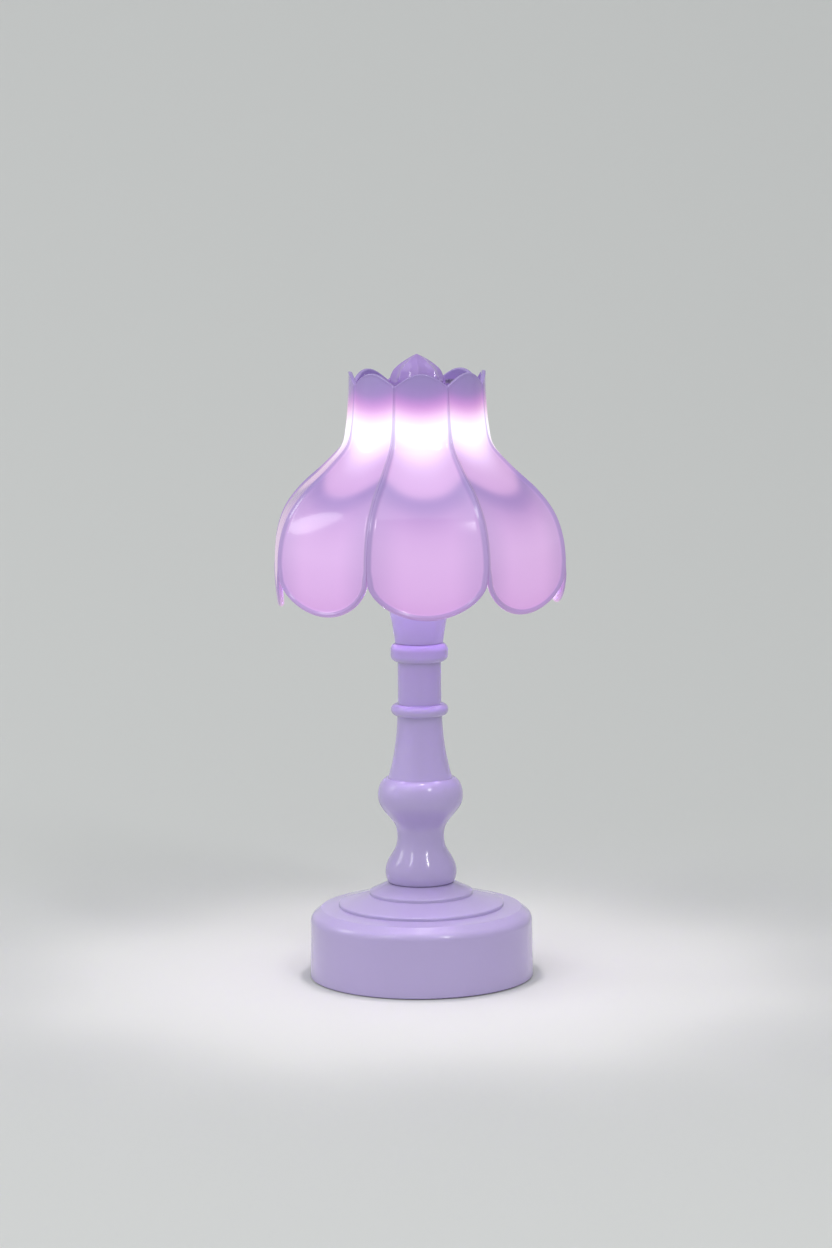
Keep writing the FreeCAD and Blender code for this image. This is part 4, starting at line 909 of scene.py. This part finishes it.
@dataclass
class Studio:
    """Floor sweep, soft lights, the lamp's own light and the camera. Sizes are in metres."""

    floor_color: Rgb = (0.695, 0.702, 0.690)
    sweep_radius: float = 1.2
    sweep_start: float = 0.3
    half_width: float = 4.0
    front: float = -3.0
    wall_height: float = 3.0
    world_color: Rgb = (0.80, 0.82, 0.83)
    world_strength: float = 0.74
    eye_distance: float = 1.37685
    eye_height: float = 0.31997
    eye_azimuth: float = math.radians(-3.5)
    eye_down: float = math.radians(7.345)
    eye_yaw: float = math.radians(0.049)
    eye_roll: float = math.radians(-0.4875)
    lens: float = 100.5
    lamp_power: float = 0.25
    lamp_disc: float = 0.042
    lamp_color: Rgb = (1.0, 0.96, 0.91)
    lamp_drop: float = 0.6 * MM
    aim_height: float = 0.1
    softboxes: tuple = field(default_factory=lambda: (
        ("left_disc", -100.0, 31.0, 1.3, 0.32, 0.62, 1.2),
        ("left_window", -48.0, 44.0, 1.3, 0.12, 0.46, 1.0),
        ("right_strip", 27.0, 42.0, 1.3, 0.07, 0.34, 2.0),
        ("overhead", 0.0, 78.0, 1.6, 1.2, 1.2, 3.5),
        ("left_fill", -80.0, 25.0, 2.0, 3.2, 2.6, 7.0)))

    def build(self) -> None:
        """Set up everything around the lamp."""
        self.sweep()
        self.world()
        for box in self.softboxes:
            self.softbox(*box)
        self.lamp_light()
        self.camera()
        LOG.info("studio: %d soft lights", len(self.softboxes))

    def sweep(self) -> None:
        """A floor that curves up into the wall: flat, a quarter circle, then upright."""
        turn = np.linspace(0, math.pi / 2, 40)
        y = np.concatenate([[self.front], self.sweep_start + self.sweep_radius * np.sin(turn),
                            [self.sweep_start + self.sweep_radius]])
        z = np.concatenate([[0.0], self.sweep_radius * (1 - np.cos(turn)), [self.wall_height]])
        x = np.array([-self.half_width, self.half_width])
        grid = np.stack([np.broadcast_to(x[:, None], (2, len(y))), np.broadcast_to(y, (2, len(y))),
                         np.broadcast_to(z, (2, len(y)))], axis=-1)
        index = np.arange(2 * len(y)).reshape(2, -1)
        quads = np.stack([index[0, :-1], index[1, :-1], index[1, 1:], index[0, 1:]], axis=-1)
        mesh = bpy.data.meshes.new("floor_sweep")
        mesh.from_pydata(grid.reshape(-1, 3).tolist(), [], quads.tolist())
        mesh.shade_smooth()
        floor = bpy.data.objects.new("floor_sweep", mesh)
        bpy.context.scene.collection.objects.link(floor)
        material = bpy.data.materials.new("studio_paper")
        material.use_nodes = True
        shader = material.node_tree.nodes["Principled BSDF"]
        shader.inputs["Base Color"].default_value = (*self.floor_color, 1.0)
        shader.inputs["Roughness"].default_value = 0.75
        shader.inputs["Specular IOR Level"].default_value = 0.2
        self.open_reverse(material)
        floor.data.materials.append(material)

    def open_reverse(self, material: bpy.types.Material) -> None:
        """Let the paper be seen through from its reverse, so that it never hides the lamp from behind or below.

        Args:
            material: the paper's material, with one Principled BSDF.
        """
        tree = material.node_tree
        side = tree.nodes.new("ShaderNodeNewGeometry")
        clear = tree.nodes.new("ShaderNodeBsdfTransparent")
        mix = tree.nodes.new("ShaderNodeMixShader")
        tree.links.new(side.outputs["Backfacing"], mix.inputs["Fac"])
        tree.links.new(tree.nodes["Principled BSDF"].outputs["BSDF"], mix.inputs[1])
        tree.links.new(clear.outputs["BSDF"], mix.inputs[2])
        tree.links.new(mix.outputs["Shader"], tree.nodes["Material Output"].inputs["Surface"])

    def world(self) -> None:
        """An even pale surround."""
        world = bpy.data.worlds.new("studio")
        world.use_nodes = True
        background = world.node_tree.nodes["Background"]
        background.inputs["Color"].default_value = (*self.world_color, 1.0)
        background.inputs["Strength"].default_value = self.world_strength
        bpy.context.scene.world = world
        bpy.context.scene.view_settings.view_transform = "Standard"

    def softbox(self, name: str, azimuth: float, elevation: float, distance: float, width: float, height: float,
                power: float) -> None:
        """A soft light aimed at the lamp, hidden from the camera: an oval if its name ends in disc, else a rectangle.

        Args:
            name: the light's name.
            azimuth: degrees round from the front, towards +X.
            elevation: degrees above the table.
            distance: from the lamp's middle.
            width: across.
            height: the other way.
            power: in watts.
        """
        data = bpy.data.lights.new(name, "AREA")
        data.shape = "ELLIPSE" if name.endswith("disc") else "RECTANGLE"
        data.size, data.size_y, data.energy = width, height, power
        light = bpy.data.objects.new(name, data)
        light.visible_camera = False
        a, e = math.radians(azimuth), math.radians(elevation)
        back = Vector((math.sin(a) * math.cos(e), -math.cos(a) * math.cos(e), math.sin(e)))
        light.location = Vector((0, 0, self.aim_height)) + back * distance
        light.rotation_euler = (-back).to_track_quat("-Z", "Y").to_euler()
        bpy.context.scene.collection.objects.link(light)

    def lamp_light(self) -> None:
        """The lamp's own light: a disc just under the diffuser, shining down through the shade."""
        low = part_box("diffuser_ring")[0]
        data = bpy.data.lights.new("lamp_light", "AREA")
        data.shape, data.size, data.energy, data.color = "DISK", self.lamp_disc, self.lamp_power, self.lamp_color
        light = bpy.data.objects.new("lamp_light", data)
        light.location = (0, 0, low[2] - self.lamp_drop)
        bpy.context.scene.collection.objects.link(light)
        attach(light, "root")

    def camera(self) -> None:
        """A long lens a little above the shade's rim, turned slightly round the lamp."""
        data = bpy.data.cameras.new("camera")
        data.lens, data.sensor_width = self.lens, 36.0
        eye = bpy.data.objects.new("camera", data)
        a = self.eye_azimuth
        eye.location = (math.sin(a) * self.eye_distance, -math.cos(a) * self.eye_distance, self.eye_height)
        turn = Euler((math.pi / 2 - self.eye_down, 0, a + self.eye_yaw)).to_matrix()
        eye.rotation_euler = (turn @ Matrix.Rotation(self.eye_roll, 3, "Z")).to_euler()
        bpy.context.scene.collection.objects.link(eye)
        bpy.context.scene.camera = eye


def main() -> None:
    """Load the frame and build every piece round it."""
    logging.basicConfig(level=logging.INFO, format="%(name)s: %(message)s")
    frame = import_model()
    finishes = Finishes()
    Fittings().dress(frame, finishes)
    Petals().build(finishes)
    Bud().build(finishes)
    Studio().build()


if __name__ == "__main__":
    main()
